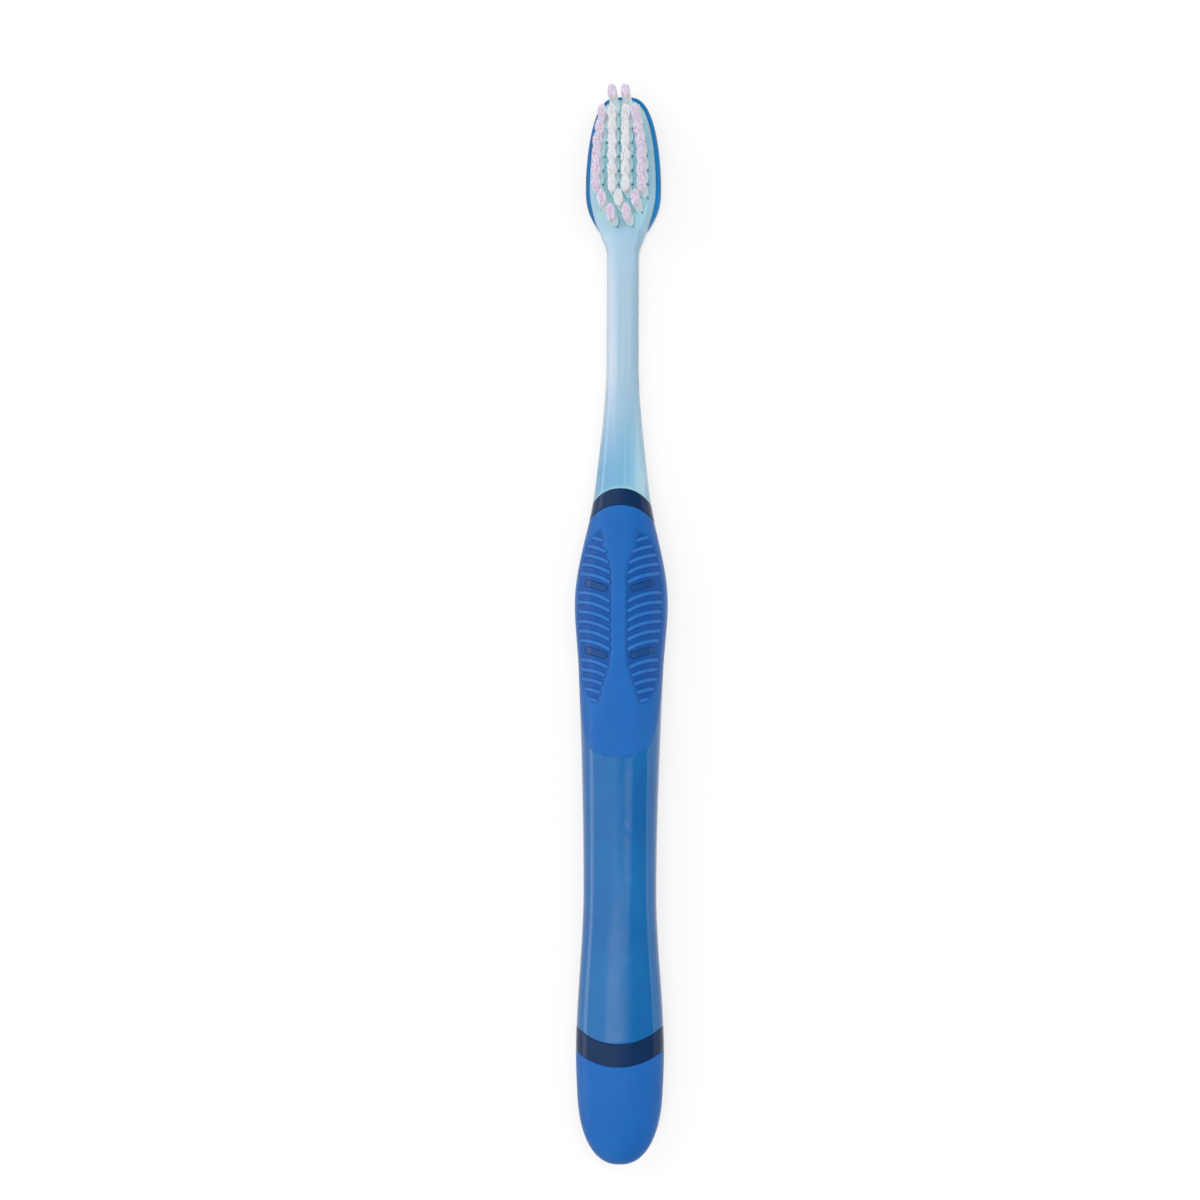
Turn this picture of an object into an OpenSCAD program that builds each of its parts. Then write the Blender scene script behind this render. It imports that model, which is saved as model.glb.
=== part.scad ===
// Manual toothbrush, lying on its back with the bristles up.
// X runs from heel to toe, Y across, Z up. Stations are distances from the toe.

/* [Overall] */
// Length from toe to heel
brush_length = 191; // [175:1:205]

/* [Head] */
// Length of the head, from the toe to the neck
head_length = 29.1; // [27:0.2:32]
// Widest width of the head, soft rim included
head_width = 13.6; // [13:0.1:15.5]
// Distance from the toe to the widest section of the head
head_widest = 16.4; // [14:0.5:18]
// Thickness of the head, soft back pad included
head_thickness = 5.2; // [4.8:0.1:6.5]
// Height of the front face above the surface that the brush lies on
head_front = 8.1; // [7.5:0.1:10]
// Rounding where the toe meets the front and back faces
toe_rounding = 0.9; // [0.5:0.1:1.4]

/* [Tongue cleaner] */
// Thickness of the soft rim round the head
rim_thickness = 0.75; // [0.5:0.05:0.9]
// Drop of the rim's front edge below the front face of the head
rim_drop = 0.8; // [0.4:0.1:1.2]
// Thickness of the soft pad on the back of the head
cleaner_thickness = 0.9; // [0.6:0.1:1.2]
// Spacing of the ridges on the back pad
ridge_pitch = 2.2; // [1.8:0.1:3]
// Width of one ridge
ridge_width = 0.8; // [0.5:0.1:1]
// Height of one ridge above the back pad
ridge_height = 0.35; // [0.2:0.05:0.6]

/* [Neck] */
// Length of the neck, from the head to the crown of the collar
neck_length = 42.3; // [38:0.2:48]
// Width of the narrow part of the neck
neck_width = 5.8; // [5:0.1:7]
// Thickness of the narrow part of the neck
neck_thickness = 5; // [4.4:0.1:6]
// Height of the middle of the neck above the surface
neck_height = 5.2; // [4.6:0.1:6.5]
// Length of the narrow part of the neck
neck_straight = 18.6; // [14:0.2:24]
// Diameter of the tang that holds the neck in the handle
tang_diameter = 4; // [3:0.1:4.4]
// Length of the tang, from the crown of the collar
tang_length = 13; // [9:0.5:16]

/* [Collar] */
// Height of the collar band, crown to crown
collar_height = 3; // [2:0.1:4.5]
// Width of the handle at the collar
collar_width = 10.1; // [9:0.1:11.5]
// Thickness of the handle at the collar
collar_thickness = 8.4; // [7.5:0.1:9.5]
// Radius of the arched seam between neck and collar
neck_seam_radius = 6.6; // [6.3:0.1:9]
// Radius of the arched seam between collar and thumb grip
grip_seam_radius = 7.8; // [7.4:0.1:11]

/* [Handle] */
// Widest width of the handle, at the thumb
grip_width = 16.6; // [15:0.1:18.5]
// Thickness of the handle at the thumb
grip_thickness = 12.4; // [11.6:0.1:14]
// Distance from the crown of the collar to the widest section
grip_distance = 20.4; // [18:0.2:24]
// Width where the grip passes into the lower handle
palm_width = 15.1; // [14:0.1:16]
// Distance from the widest section to that place
palm_distance = 12; // [9:0.5:16]
// Width of the waist
waist_width = 13; // [11.5:0.1:14]
// Thickness of the waist
waist_thickness = 9.8; // [8.5:0.1:11]
// Height of the waist's back above the surface
waist_lift = 1.5; // [0.6:0.1:2]
// Distance from the waist to the heel end
waist_distance = 48; // [44:1:52]
// Widest width near the heel
heel_width = 15.6; // [14:0.1:17]
// Thickness near the heel
heel_thickness = 9.6; // [8.5:0.1:11]
// Distance from the widest heel section to the heel end
heel_distance = 20; // [17:0.5:24]
// Length of the rounded heel end
heel_rounding = 12; // [9:0.5:14]
// Depth that is cut off flat where the handle rests on its back
rest_depth = 0.3; // [0.15:0.05:0.5]

/* [Handle pieces] */
// Thickness of the soft grips over the core
grip_skin = 1.7; // [1.2:0.1:2.2]
// Wall of the hard lower handle round the core
shell_wall = 2.8; // [2:0.1:3.2]
// Length of the soft thumb grip, crown to crown
thumb_grip_length = 45; // [40:1:50]
// Radius of the arched seam at the lower end of the grips
lower_seam_radius = 9.5; // [9:0.5:12]
// Height of the thumb grip's side seam at its lowest
front_seam_height = 5.4; // [5:0.1:6.4]
// Height of the back grip's side seam at its highest
back_seam_height = 3.2; // [2.4:0.1:3.8]
// Radius of the side seams, seen from the side
side_seam_radius = 68; // [55:1:90]
// Distance from the heel end to the crown of the heel grip's seam
heel_grip_length = 17.2; // [16:0.2:20]
// Height of the dark band above the heel grip
heel_band_height = 4; // [3:0.1:5]
// Radius of the arched seams of the heel band
heel_seam_radius = 11; // [10:0.5:14]
// Length of the core inside the heel grip
heel_peg_length = 10; // [6:0.5:12]

/* [Thumb pattern] */
// Width of the smooth spine between the ribs
spine_width = 2.5; // [2:0.1:3.5]
// Depth of the ribbed fields below the spine
field_depth = 0.4; // [0.2:0.05:0.6]
// Distance from the collar's lower crown to the first rib
rib_start = 5.5; // [5:0.1:8]
// Spacing of the ribs along the handle
rib_pitch = 1.7; // [1.6:0.02:2.2]
// Width of one rib
rib_width = 0.8; // [0.5:0.05:1]
// Radius of a rib's curve
rib_radius = 11.3; // [10:0.1:14]
// Number of ribs on each side, windows included
rib_count = 18; // [15:1:19]
// Margin between the rib ends and the widest outline
field_margin = 0.55; // [0.5:0.05:1]
// Length of a window slot
window_length = 4.4; // [3.6:0.1:4.8]
// Width of a window slot
window_width = 1.35; // [1:0.05:1.6]
// Distance from the middle line to the middle of a window slot
window_offset = 4.1; // [3.9:0.1:4.6]

/* [Tufts] */
// Diameter of a tuft hole
hole_diameter = 1.7; // [1.5:0.05:1.75]
// Depth of a tuft hole
hole_depth = 3.2; // [2.6:0.1:3.4]
// Distance from the toe to the first row
first_row = 2.7; // [2.6:0.05:3.2]
// Distance from the last row to the neck
last_row = 6; // [5.4:0.1:6.6]
// Spacing of the two inner columns
inner_spacing = 2.4; // [2.3:0.05:2.6]
// Spacing of the pair of tufts at the heel of the head
heel_pair_spacing = 2.8; // [2.4:0.1:3.4]
// Spacing of the outer columns at their widest
outer_spacing = 8; // [7.4:0.1:8.4]
// Height of a tuft above the front face
tuft_height = 10.5; // [8:0.1:13]
// Extra height of the toe pair
toe_tuft_extra = 0.9; // [0:0.1:2]
// Forward lean of the toe pair, in degrees
toe_lean_angle = 7; // [0:1:14]
// Number of strands in the inner ring of a tuft
inner_ring_strands = 5; // [4:1:6]
// Number of strands in the outer ring of a tuft
outer_ring_strands = 10; // [8:1:11]
// Thickness of a strand, corner to corner
strand_width = 0.3; // [0.2:0.01:0.32]
// Rise of the middle strands above the outer ones
tuft_crown = 0.35; // [0:0.05:0.8]

/* [Anchors] */
// Thickness of an anchor plate
anchor_thickness = 0.3; // [0.2:0.05:0.4]
// Height of an anchor plate
anchor_height = 1.3; // [1:0.1:1.6]
// Depth that each end of an anchor bites into the head
anchor_bite = 0.2; // [0.1:0.05:0.25]
// Height of an anchor's lower edge above the floor of its hole
anchor_seat = 0.5; // [0.3:0.1:0.8]
// Turn of the anchors from the brush's length, in degrees
anchor_turn = 35; // [0:5:90]

/* [Hidden] */
$fn = 72;
overrun = 2; // how far a cutting solid reaches past what it cuts
ring_points = 28;
collar_at = head_length + neck_length;
collar_end = collar_at + collar_height;
grip_at = collar_at + grip_distance;
palm_at = grip_at + palm_distance;
thumb_grip_end = collar_end + thumb_grip_length;
waist_at = brush_length - waist_distance;
heel_at = brush_length - heel_distance;
heel_cap_at = brush_length - heel_rounding;
heel_grip_at = brush_length - heel_grip_length;
heel_band_at = heel_grip_at - heel_band_height;
head_back = head_front - head_thickness;
neck_narrow_end = head_length + neck_straight;

// Where the soft rim starts to thin, and where it ends, as shares of the head's length
rim_fade_share = 0.68;
rim_end_share = 0.94;
rim_fade = head_length * rim_fade_share;
rim_end = head_length * rim_end_share;
rim_sink = rim_thickness / 2; // how far the rim's tail dives under the hard surface

// Curvature of the head's outline: the two powers of the toe, and the lean of the shoulder
toe_power_share = 1.8;
toe_root_share = 3.4;
shoulder_share = 1.35;
// Squareness of the sections: 2 is an ellipse
head_square_share = 4;
neck_square_share = 2.6;
handle_square_share = 2.4;
// The front face is a cut across a section that would rise this share of the thickness above it
crown_share = 0.075;
// How nearly the toe and the heel close, and how round the heel is
toe_end_share = 0.997;
heel_end_share = 0.995;
heel_power_share = 2.3;
// Station where the neck has its full thickness, as a share of the head's length
neck_root_share = 1.12;
neck_root = head_length * neck_root_share;
// Width at the collar's crown, and the part of the collar in front of the neck's middle
collar_start_share = 0.97;
collar_front_share = 0.52;
// Thickness where the grip passes into the lower handle
palm_share = 0.985;
// Width and thickness towards the heel end, and the height of the heel end's back
heel_taper_share = 0.9;
heel_rise_share = 0.1;

// Outline of the handle: [station, width]
width_knots = [
    [head_length, neck_width],
    [neck_narrow_end, neck_width],
    [collar_at, collar_width * collar_start_share],
    [grip_at, grip_width],
    [palm_at, palm_width],
    [waist_at, waist_width],
    [heel_at, heel_width],
    [brush_length, heel_width * heel_taper_share],
];
// Side view of the front: [station, height]
front_knots = [
    [rim_fade, head_front],
    [neck_root, neck_height + neck_thickness / 2],
    [neck_narrow_end, neck_height + neck_thickness / 2],
    [collar_at, neck_height + collar_thickness * collar_front_share],
    [grip_at, grip_thickness],
    [palm_at, grip_thickness * palm_share],
    [waist_at, waist_lift + waist_thickness],
    [heel_at, heel_thickness],
    [brush_length, heel_thickness * heel_taper_share],
];
// Side view of the back: [station, height]
back_knots = [
    [rim_fade, head_back],
    [neck_root, neck_height - neck_thickness / 2],
    [neck_narrow_end, neck_height - neck_thickness / 2],
    [collar_at, neck_height - collar_thickness * (1 - collar_front_share)],
    [grip_at, -rest_depth],
    [palm_at, -rest_depth],
    [waist_at, waist_lift],
    [heel_at, -rest_depth],
    [heel_cap_at, -rest_depth],
    [brush_length, heel_thickness * heel_rise_share],
];
square_knots = [
    [rim_fade, head_square_share],
    [neck_narrow_end, neck_square_share],
    [grip_at, handle_square_share],
];

function along(station) = brush_length / 2 - station;

// A smooth curve through knots that never overshoots them
function secant(knots, i) = (knots[i + 1][1] - knots[i][1]) / (knots[i + 1][0] - knots[i][0]);
function slope(knots, i) =
    i == 0 || i == len(knots) - 1 ? 0 :
    let (before = secant(knots, i - 1), after = secant(knots, i))
    before * after <= 0 ? 0 : 2 * before * after / (before + after);
function smooth(knots, at) =
    at <= knots[0][0] ? knots[0][1] :
    at >= knots[len(knots) - 1][0] ? knots[len(knots) - 1][1] :
    let (
        i = max([for (k = [0 : len(knots) - 2]) if (knots[k][0] <= at) k]),
        span = knots[i + 1][0] - knots[i][0],
        t = (at - knots[i][0]) / span
    )
    knots[i][1] * (2 * t ^ 3 - 3 * t ^ 2 + 1) + knots[i + 1][1] * (3 * t ^ 2 - 2 * t ^ 3)
    + span * (slope(knots, i) * (t ^ 3 - 2 * t ^ 2 + t) + slope(knots, i + 1) * (t ^ 3 - t ^ 2));

// The rounded heel end shrinks every section by this factor
function heel_shrink(at) =
    at <= heel_cap_at ? 1 :
    (1 - (heel_end_share * (at - heel_cap_at) / heel_rounding) ^ heel_power_share)
    ^ (1 / heel_power_share);

// Half-width of the outline, drawn in by an inset
function toe_half(at, inset) =
    (head_width / 2 - inset)
    * (1 - (toe_end_share * (head_widest - at) / (head_widest - inset)) ^ toe_power_share)
    ^ (1 / toe_root_share);
function shoulder_half(at, inset) =
    let (v = (at - head_widest) / (head_length - head_widest))
    neck_width / 2 - inset
    + (head_width - neck_width) / 4 * (1 + cos(180 * v ^ shoulder_share));
function half_width(at, inset) =
    at < head_widest ? toe_half(at, inset) :
    at < head_length ? shoulder_half(at, inset) :
    (smooth(width_knots, at) / 2 - inset) * heel_shrink(at);

// How far the toe's rounding draws in the front and the back
function toe_draw(at, inset) =
    at - inset >= toe_rounding ? 0 :
    toe_rounding - sqrt(toe_rounding ^ 2 - (toe_rounding - at + inset) ^ 2);

// One section, as a ring of points. Insets draw in the sides, the front and the back.
function bent(v, power) = sign(v) * abs(v) ^ (2 / power);
function section(at, side, front, back) =
    let (
        half = half_width(at, side),
        draw = toe_draw(at, side),
        top = smooth(front_knots, at) - front - draw,
        low = smooth(back_knots, at) + back + draw,
        crown = at < rim_fade ? crown_share * (top - low) : 0,
        middle = (top + low) / 2,
        rise = (top + crown - middle) * heel_shrink(at),
        fall = (middle - low) * heel_shrink(at),
        power = smooth(square_knots, at)
    )
    [for (j = [0 : ring_points - 1])
        let (
            a = 360 * (j + 0.5) / ring_points,
            lift = sin(a) > 0 ? rise : fall,
            z = middle + lift * bent(sin(a), power)
        )
        [along(at), half * bent(cos(a), power), max(min(z, top), 0)]];

// A solid through a list of sections
module loft(sections) {
    n = len(sections[0]);
    last = len(sections) - 1;
    points = [for (s = sections) each s];
    sides = [for (i = [0 : last - 1]) for (j = [0 : n - 1])
        let (a = i * n + j, b = i * n + (j + 1) % n)
        each [[a, b, b + n], [a, b + n, a + n]]];
    caps = [[for (j = [n - 1 : -1 : 0]) j], [for (j = [0 : n - 1]) last * n + j]];
    polyhedron(points, concat(sides, caps));
}

// Stations of the sections, close together where the shape turns fast
function spread(from, to, steps) = [for (i = [1 : steps]) from + (to - from) * i / steps];
function toe_stations(inset) =
    [for (i = [0 : 9]) inset + (head_widest - inset) * (1 - cos(90 * i / 9))];
head_stations = spread(head_widest, head_length, 9);
neck_stations = concat(spread(head_length, neck_narrow_end, 3), spread(neck_narrow_end, collar_at, 6));
grip_stations = concat(spread(collar_at, grip_at, 7), spread(grip_at, palm_at, 4));
lower_stations = concat(spread(palm_at, waist_at, 6), spread(waist_at, heel_at, 6),
    spread(heel_at, heel_cap_at, 2));
heel_stations = [for (i = [1 : 8]) heel_cap_at + heel_rounding * sin(90 * i / 8)];
stations = concat(neck_stations, grip_stations, lower_stations, heel_stations);

// The stations that reach over a stretch, from the last before it to the first after it
function over(list, from, to) =
    let (
        first = max([list[0], for (at = list) if (at <= from) at]),
        last = min([list[len(list) - 1], for (at = list) if (at >= to) at])
    )
    [for (at = list) if (at >= first && at <= last) at];

// The outer form of the handle over a stretch, drawn in by an inset
module body(from, to, inset = 0) {
    loft([for (at = over(stations, from, to)) section(at, inset, inset, inset)]);
}

// Regions seen from the front. The crown of an arch points to the toe or to the heel.
reach = grip_width;
module heelward(crown, radius) {
    translate([along(crown + radius), 0]) circle(r = radius);
    translate([along(brush_length) - overrun, -reach])
        square([brush_length - crown - radius + overrun, 2 * reach]);
}
module toeward(crown, radius) {
    translate([along(crown - radius), 0]) circle(r = radius);
    translate([along(crown - radius), -reach]) square([crown - radius + overrun, 2 * reach]);
}
module through() {
    translate([0, 0, -overrun]) linear_extrude(height = grip_thickness + 2 * overrun) children();
}

// The front half of the grips, seen from the side
module side_seam(height) {
    translate([along(grip_at), 0, height])
        rotate([90, 0, 0]) cylinder(r = side_seam_radius, h = 2 * reach, center = true, $fn = 240);
}
module front_side() {
    side_seam(front_seam_height + side_seam_radius);
}
module back_side() {
    side_seam(back_seam_height - side_seam_radius);
}
module grip_region() {
    through() intersection() {
        heelward(collar_end, grip_seam_radius);
        toeward(thumb_grip_end, lower_seam_radius);
    }
}

// Tufts: [name, station, offset across, lean, height, outer column or not]
rows = 9;
rows_length = head_length - last_row - first_row;
function row_at(row) = first_row + rows_length * (row - 1) / (rows - 1);
// Offset of the outer columns: [share of the rows' length, share of the widest offset]
outer_shares = [[0.12, 0.75], [0.25, 0.85], [0.5, 1], [0.75, 1], [0.88, 0.75]];
function outer_offset(row) =
    outer_spacing / 2 * smooth(outer_shares, (row - 1) / (rows - 1));
function side_name(side) = side > 0 ? "left" : "right";
function tuft_row(row, column, offset, lean, height, outer) =
    [for (side = [1, -1])
        [str("tuft_", row, "_", column, "_", side_name(side)),
            row_at(row), side * offset, lean, height, outer]];
tufts = concat(
    tuft_row(1, "toe", inner_spacing / 2, toe_lean_angle, tuft_height + toe_tuft_extra, true),
    [for (row = [2 : rows - 2]) each
        tuft_row(row, "inner", inner_spacing / 2, 0, tuft_height, false)],
    [[str("tuft_", rows - 1, "_centre"), row_at(rows - 1), 0, 0, tuft_height, false]],
    tuft_row(rows, "heel", heel_pair_spacing / 2, 0, tuft_height, true),
    [for (row = [2 : rows - 1]) each
        tuft_row(row, "outer", outer_offset(row), 0, tuft_height, true)]
);

module at_tuft(t) {
    translate([along(t[1]), t[2], head_front]) rotate([0, t[3], 0]) children();
}
module tuft_hole() {
    translate([0, 0, -hole_depth]) cylinder(d = hole_diameter, h = hole_depth + overrun);
}
module anchor() {
    long = hole_diameter + 2 * anchor_bite;
    rotate([0, 0, anchor_turn])
        translate([-long / 2, -anchor_thickness / 2, anchor_seat - hole_depth])
            cube([long, anchor_thickness, anchor_height]);
}

// Pale translucent head and neck, with the tang that the handle is moulded round
function plate_fade(at) =
    smooth([[rim_fade, 1], [rim_end, 0]], at);
function plate_section(at) =
    section(at, rim_thickness * plate_fade(at), 0, cleaner_thickness * plate_fade(at));
module plate_loft() {
    loft([for (at = concat(toe_stations(rim_thickness), head_stations)) plate_section(at)]);
}
module neck_and_head() {
    color("lightblue") difference() {
        union() {
            difference() {
                loft([for (at = concat(toe_stations(rim_thickness), head_stations, neck_stations,
                    [for (g = grip_stations) if (g < collar_at + neck_seam_radius) g]))
                    plate_section(at)]);
                through() heelward(collar_at, neck_seam_radius);
            }
            tang();
        }
        for (t = tufts) at_tuft(t) {
            tuft_hole();
            anchor();
        }
    }
}
module tang() {
    root = collar_at - overrun;
    translate([along(root), 0, neck_height])
        rotate([0, -90, 0]) cylinder(d = tang_diameter, h = tang_length + overrun);
}

// Soft rim and ridged back pad
function cleaner_section(at) =
    let (sink = rim_sink * (1 - smooth([[rim_fade, 1], [rim_end, 0]], at)))
    section(at, sink, rim_drop, sink);
module tongue_cleaner() {
    ridges = floor(rim_fade / ridge_pitch) - 2;
    ridge_margin = rim_thickness + head_thickness / 6;
    color("dodgerblue") {
        difference() {
            loft([for (at = concat(toe_stations(0), head_stations)) if (at <= rim_end + overrun)
                cleaner_section(at)]);
            plate_loft();
        }
        for (i = [1 : ridges]) {
            at = (i + 1) * ridge_pitch;
            long = 2 * half_width(at, rim_thickness) - 2 * ridge_margin;
            translate([along(at), 0, head_back + ridge_width / 2 - ridge_height])
                rotate([90, 0, 0]) cylinder(d = ridge_width, h = long, center = true);
        }
    }
}

// Dark inner moulding: collar, core under the grips, heel band and heel peg
function core_inset(at) =
    smooth([[thumb_grip_end - grip_skin, grip_skin], [waist_at, shell_wall],
        [heel_at, shell_wall]], at);
core_start = collar_at + collar_height / 3;
core_end = heel_grip_at + heel_peg_length;
heel_band_radius = heel_seam_radius + heel_band_height / 4; // the heel band widens to the sides
core_stations = concat([core_start], [for (s = stations) if (s > core_start && s < core_end) s],
    [core_end]);
module core_loft(from = core_start, to = core_end) {
    loft([for (at = over(core_stations, from, to))
        section(at, core_inset(at), core_inset(at), core_inset(at))]);
}
module handle_core() {
    color("midnightblue") difference() {
        union() {
            core_loft();
            intersection() {
                body(collar_at, collar_end + grip_seam_radius);
                through() difference() {
                    heelward(collar_at, neck_seam_radius);
                    heelward(collar_end, grip_seam_radius);
                }
            }
            intersection() {
                body(heel_band_at - heel_seam_radius, heel_grip_at);
                through() difference() {
                    toeward(heel_grip_at, heel_band_radius);
                    toeward(heel_band_at, heel_seam_radius);
                }
            }
        }
        tang();
    }
}

// Hard glossy handle: side strips between the grips, and the whole lower handle
module handle_shell() {
    color("steelblue") difference() {
        intersection() {
            body(collar_end, heel_band_at);
            through() intersection() {
                heelward(collar_end, grip_seam_radius);
                toeward(heel_band_at, heel_seam_radius);
            }
        }
        intersection() {
            through() toeward(thumb_grip_end, lower_seam_radius);
            union() {
                front_side();
                back_side();
            }
        }
        core_loft();
    }
}

// Outline of one ribbed field: shares of the grip's length, and of its half-width there
field_top_shares = [[0.16, 0.4], [0.12, 0.45], [0.1, 0.52], [0.1, 0.7], [0.12, 0.86], [0.155, 0.95]];
field_heel_shares = [[0.74, 0.93], [0.77, 0.84], [0.79, 0.7], [0.79, 0.52], [0.77, 0.45], [0.73, 0.4]];
field_side_shares = [for (i = [0 : 10]) [0.19 + 0.05 * i, 1]];
field_spine_shares = [[0.68, 0.28], [0.64, 0.21], [0.6, 0], [0.28, 0], [0.24, 0.21], [0.2, 0.28]];
module field() {
    polygon([for (p = concat(field_top_shares, field_side_shares, field_heel_shares, field_spine_shares))
        let (at = collar_end + p[0] * thumb_grip_length)
        [along(at), max(spine_width / 2, p[1] * half_width(at, field_margin))]]);
}
// Ribs 6 and 13 are replaced by the window slots
window_ribs = [6, 13];
function rib_at(i) = collar_end + rib_start + (i - 1) * rib_pitch;
rib_side = grip_width / 2 - field_margin;
module rib(i) {
    translate([along(rib_at(i) + rib_radius), rib_side]) intersection() {
        difference() {
            circle(r = rib_radius + rib_width / 2);
            circle(r = rib_radius - rib_width / 2);
        }
        translate([0, -rib_side]) square([2 * rib_radius, grip_width]);
    }
}
module window(i) {
    sweep = rib_side - window_offset;
    drop = rib_radius - sqrt(rib_radius ^ 2 - sweep ^ 2);
    half = (window_length - window_width) / 2;
    translate([along(rib_at(i) + drop), window_offset])
        rotate(90 - asin(sweep / rib_radius)) {
            square([2 * half, window_width], center = true);
            for (end = [-half, half]) translate([end, 0]) circle(d = window_width);
        }
}
module both_sides() {
    children();
    mirror([0, 1, 0]) children();
}
// What stands at full height: all but the ribbed fields, and the ribs in them
module raised() {
    difference() {
        translate([along(waist_at), -reach]) square([waist_at - head_length, 2 * reach]);
        both_sides() field();
    }
    both_sides() for (i = [1 : rib_count]) if (i != window_ribs[0] && i != window_ribs[1]) rib(i);
}
module thumb_grip() {
    color("royalblue") difference() {
        intersection() {
            union() {
                body(collar_end, thumb_grip_end, field_depth);
                intersection() {
                    body(collar_end, thumb_grip_end);
                    through() raised();
                }
            }
            grip_region();
            front_side();
        }
        core_loft(collar_end, thumb_grip_end);
        through() both_sides() for (i = window_ribs) window(i);
    }
}

module back_grip() {
    color("royalblue") difference() {
        intersection() {
            body(collar_end, thumb_grip_end);
            grip_region();
            back_side();
        }
        core_loft(collar_end, thumb_grip_end);
    }
}

module heel_grip() {
    color("royalblue") difference() {
        body(heel_grip_at - heel_seam_radius, brush_length);
        through() toeward(heel_grip_at, heel_band_radius);
        core_loft(heel_grip_at - heel_seam_radius, core_end);
    }
}

// Bristles: each tuft is a root, folded round its anchor, with strands that spread upward
strand_root = hole_diameter / 5; // how deep a strand starts inside its root
// How far the strands spread, and the radii of their rings as shares of the hole's radius
strand_spread_share = 1.2;
inner_ring_share = 0.42;
outer_ring_share = 0.8;
module strand(x, y, height) {
    corners = [for (k = [0 : 3]) strand_width / 2 * [cos(90 * k), sin(90 * k)]];
    points = concat(
        [for (c = corners) [x + c[0], y + c[1], -strand_root]],
        [for (c = corners) [x * strand_spread_share + c[0], y * strand_spread_share + c[1], height]]
    );
    sides = [for (k = [0 : 3])
        let (next = (k + 1) % 4)
        each [[k, k + 4, next + 4], [k, next + 4, next]]];
    polyhedron(points, concat(sides, [[0, 1, 2], [0, 2, 3], [4, 6, 5], [4, 7, 6]]));
}
module strand_ring(count, radius, height) {
    for (k = [0 : count - 1])
        let (a = 360 * (k + 0.5) / count) strand(radius * cos(a), radius * sin(a), height);
}
module tuft(t) {
    color(t[5] ? "thistle" : "white") at_tuft(t) {
        difference() {
            translate([0, 0, -hole_depth]) cylinder(d = hole_diameter, h = hole_depth);
            anchor();
        }
        strand(0, 0, t[4] + tuft_crown);
        strand_ring(inner_ring_strands, inner_ring_share * hole_diameter / 2,
            t[4] + tuft_crown / 2);
        strand_ring(outer_ring_strands, outer_ring_share * hole_diameter / 2, t[4]);
    }
}
module tuft_anchors() {
    color("silver") for (t = tufts) at_tuft(t) anchor();
}

neck_and_head();
tongue_cleaner();
handle_core();
handle_shell();
thumb_grip();
back_grip();
heel_grip();
tuft_anchors();
for (t = tufts) tuft(t);
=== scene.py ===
import math
from functools import partial

import bmesh
import bpy
import numpy as np
from mathutils import Matrix, Vector


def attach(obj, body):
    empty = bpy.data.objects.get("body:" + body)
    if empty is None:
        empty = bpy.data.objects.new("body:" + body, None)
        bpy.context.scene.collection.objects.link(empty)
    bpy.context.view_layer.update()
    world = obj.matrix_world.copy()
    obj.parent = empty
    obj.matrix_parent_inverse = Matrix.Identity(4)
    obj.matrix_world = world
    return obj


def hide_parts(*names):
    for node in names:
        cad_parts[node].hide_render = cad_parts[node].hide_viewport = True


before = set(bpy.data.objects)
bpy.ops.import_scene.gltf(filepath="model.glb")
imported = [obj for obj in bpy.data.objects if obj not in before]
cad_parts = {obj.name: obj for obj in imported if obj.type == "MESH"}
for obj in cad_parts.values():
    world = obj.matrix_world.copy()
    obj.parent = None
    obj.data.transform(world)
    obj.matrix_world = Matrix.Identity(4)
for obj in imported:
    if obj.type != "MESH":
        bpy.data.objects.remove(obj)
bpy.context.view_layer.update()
mm = 0.001
weld = 0.004  # points nearer than this become one
fineSteps = 5  # rows of points over a rounded edge
print("frame loaded:", len(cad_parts), "nodes")

# Sizes are in millimetres. A station is a distance from the toe, along the brush.
brush = dict(
    length=191.0,
    headLength=29.1, headWidth=13.6, headWidest=16.4, headThickness=5.2,
    headFront=8.1, toeRounding=0.9, faceEdge=0.3,
    rim=0.75, rimDrop=0.8, backPad=0.9, rimFade=0.68, rimEnd=0.94,
    neckWidth=5.8, neckThickness=5.0, neckHeight=5.2, neckStraight=18.6,
    neckRoot=1.12,
    collarAt=71.4, collarHeight=3.0, collarWidth=10.1, collarThickness=8.4,
    collarStart=0.97, collarFront=0.52,
    gripDistance=20.4, gripWidth=16.6, gripThickness=12.4,
    palmDistance=12.0, palmWidth=15.1, palmShare=0.985,
    waistDistance=48.0, waistWidth=13.0, waistThickness=9.8, waistLift=1.5,
    heelDistance=20.0, heelWidth=15.6, heelThickness=9.6, heelRounding=12.0,
    heelTaper=0.9, heelRise=0.1, heelPower=2.3, restDepth=0.3, restEdge=0.12,
    toePower=1.8, toeRoot=3.4, toeCrowding=1.35, shoulderLean=1.35,
    headSquare=4.0, neckSquare=2.6, handleSquare=2.4, crown=0.075, crownFade=3.0,
)
seams = dict(
    neckRadius=6.6, gripRadius=7.8, lowerRadius=9.5, heelRadius=11.0,
    heelBandRadius=12.0, gripLength=45.0, heelGripLength=17.2, heelBandHeight=4.0,
    frontHeight=5.4, backHeight=3.2, sideRadius=68.0, backShort=7.2,
)
brushLength, headLength, headWidest, headFront, neckHeight, collarAt, rim, restDepth = (
    brush[k] for k in ("length", "headLength", "headWidest", "headFront", "neckHeight",
                       "collarAt", "rim", "restDepth"))
collarEnd = collarAt + brush["collarHeight"]
gripAt = collarAt + brush["gripDistance"]
palmAt = gripAt + brush["palmDistance"]
gripLength = seams["gripLength"]
gripEnd = collarEnd + gripLength
waistAt = brushLength - brush["waistDistance"]
heelAt = brushLength - brush["heelDistance"]
heelCapAt = brushLength - brush["heelRounding"]
heelGripAt = brushLength - seams["heelGripLength"]
heelBandAt = heelGripAt - seams["heelBandHeight"]
headBack = headFront - brush["headThickness"]
neckRootAt = headLength * brush["neckRoot"]
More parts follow.
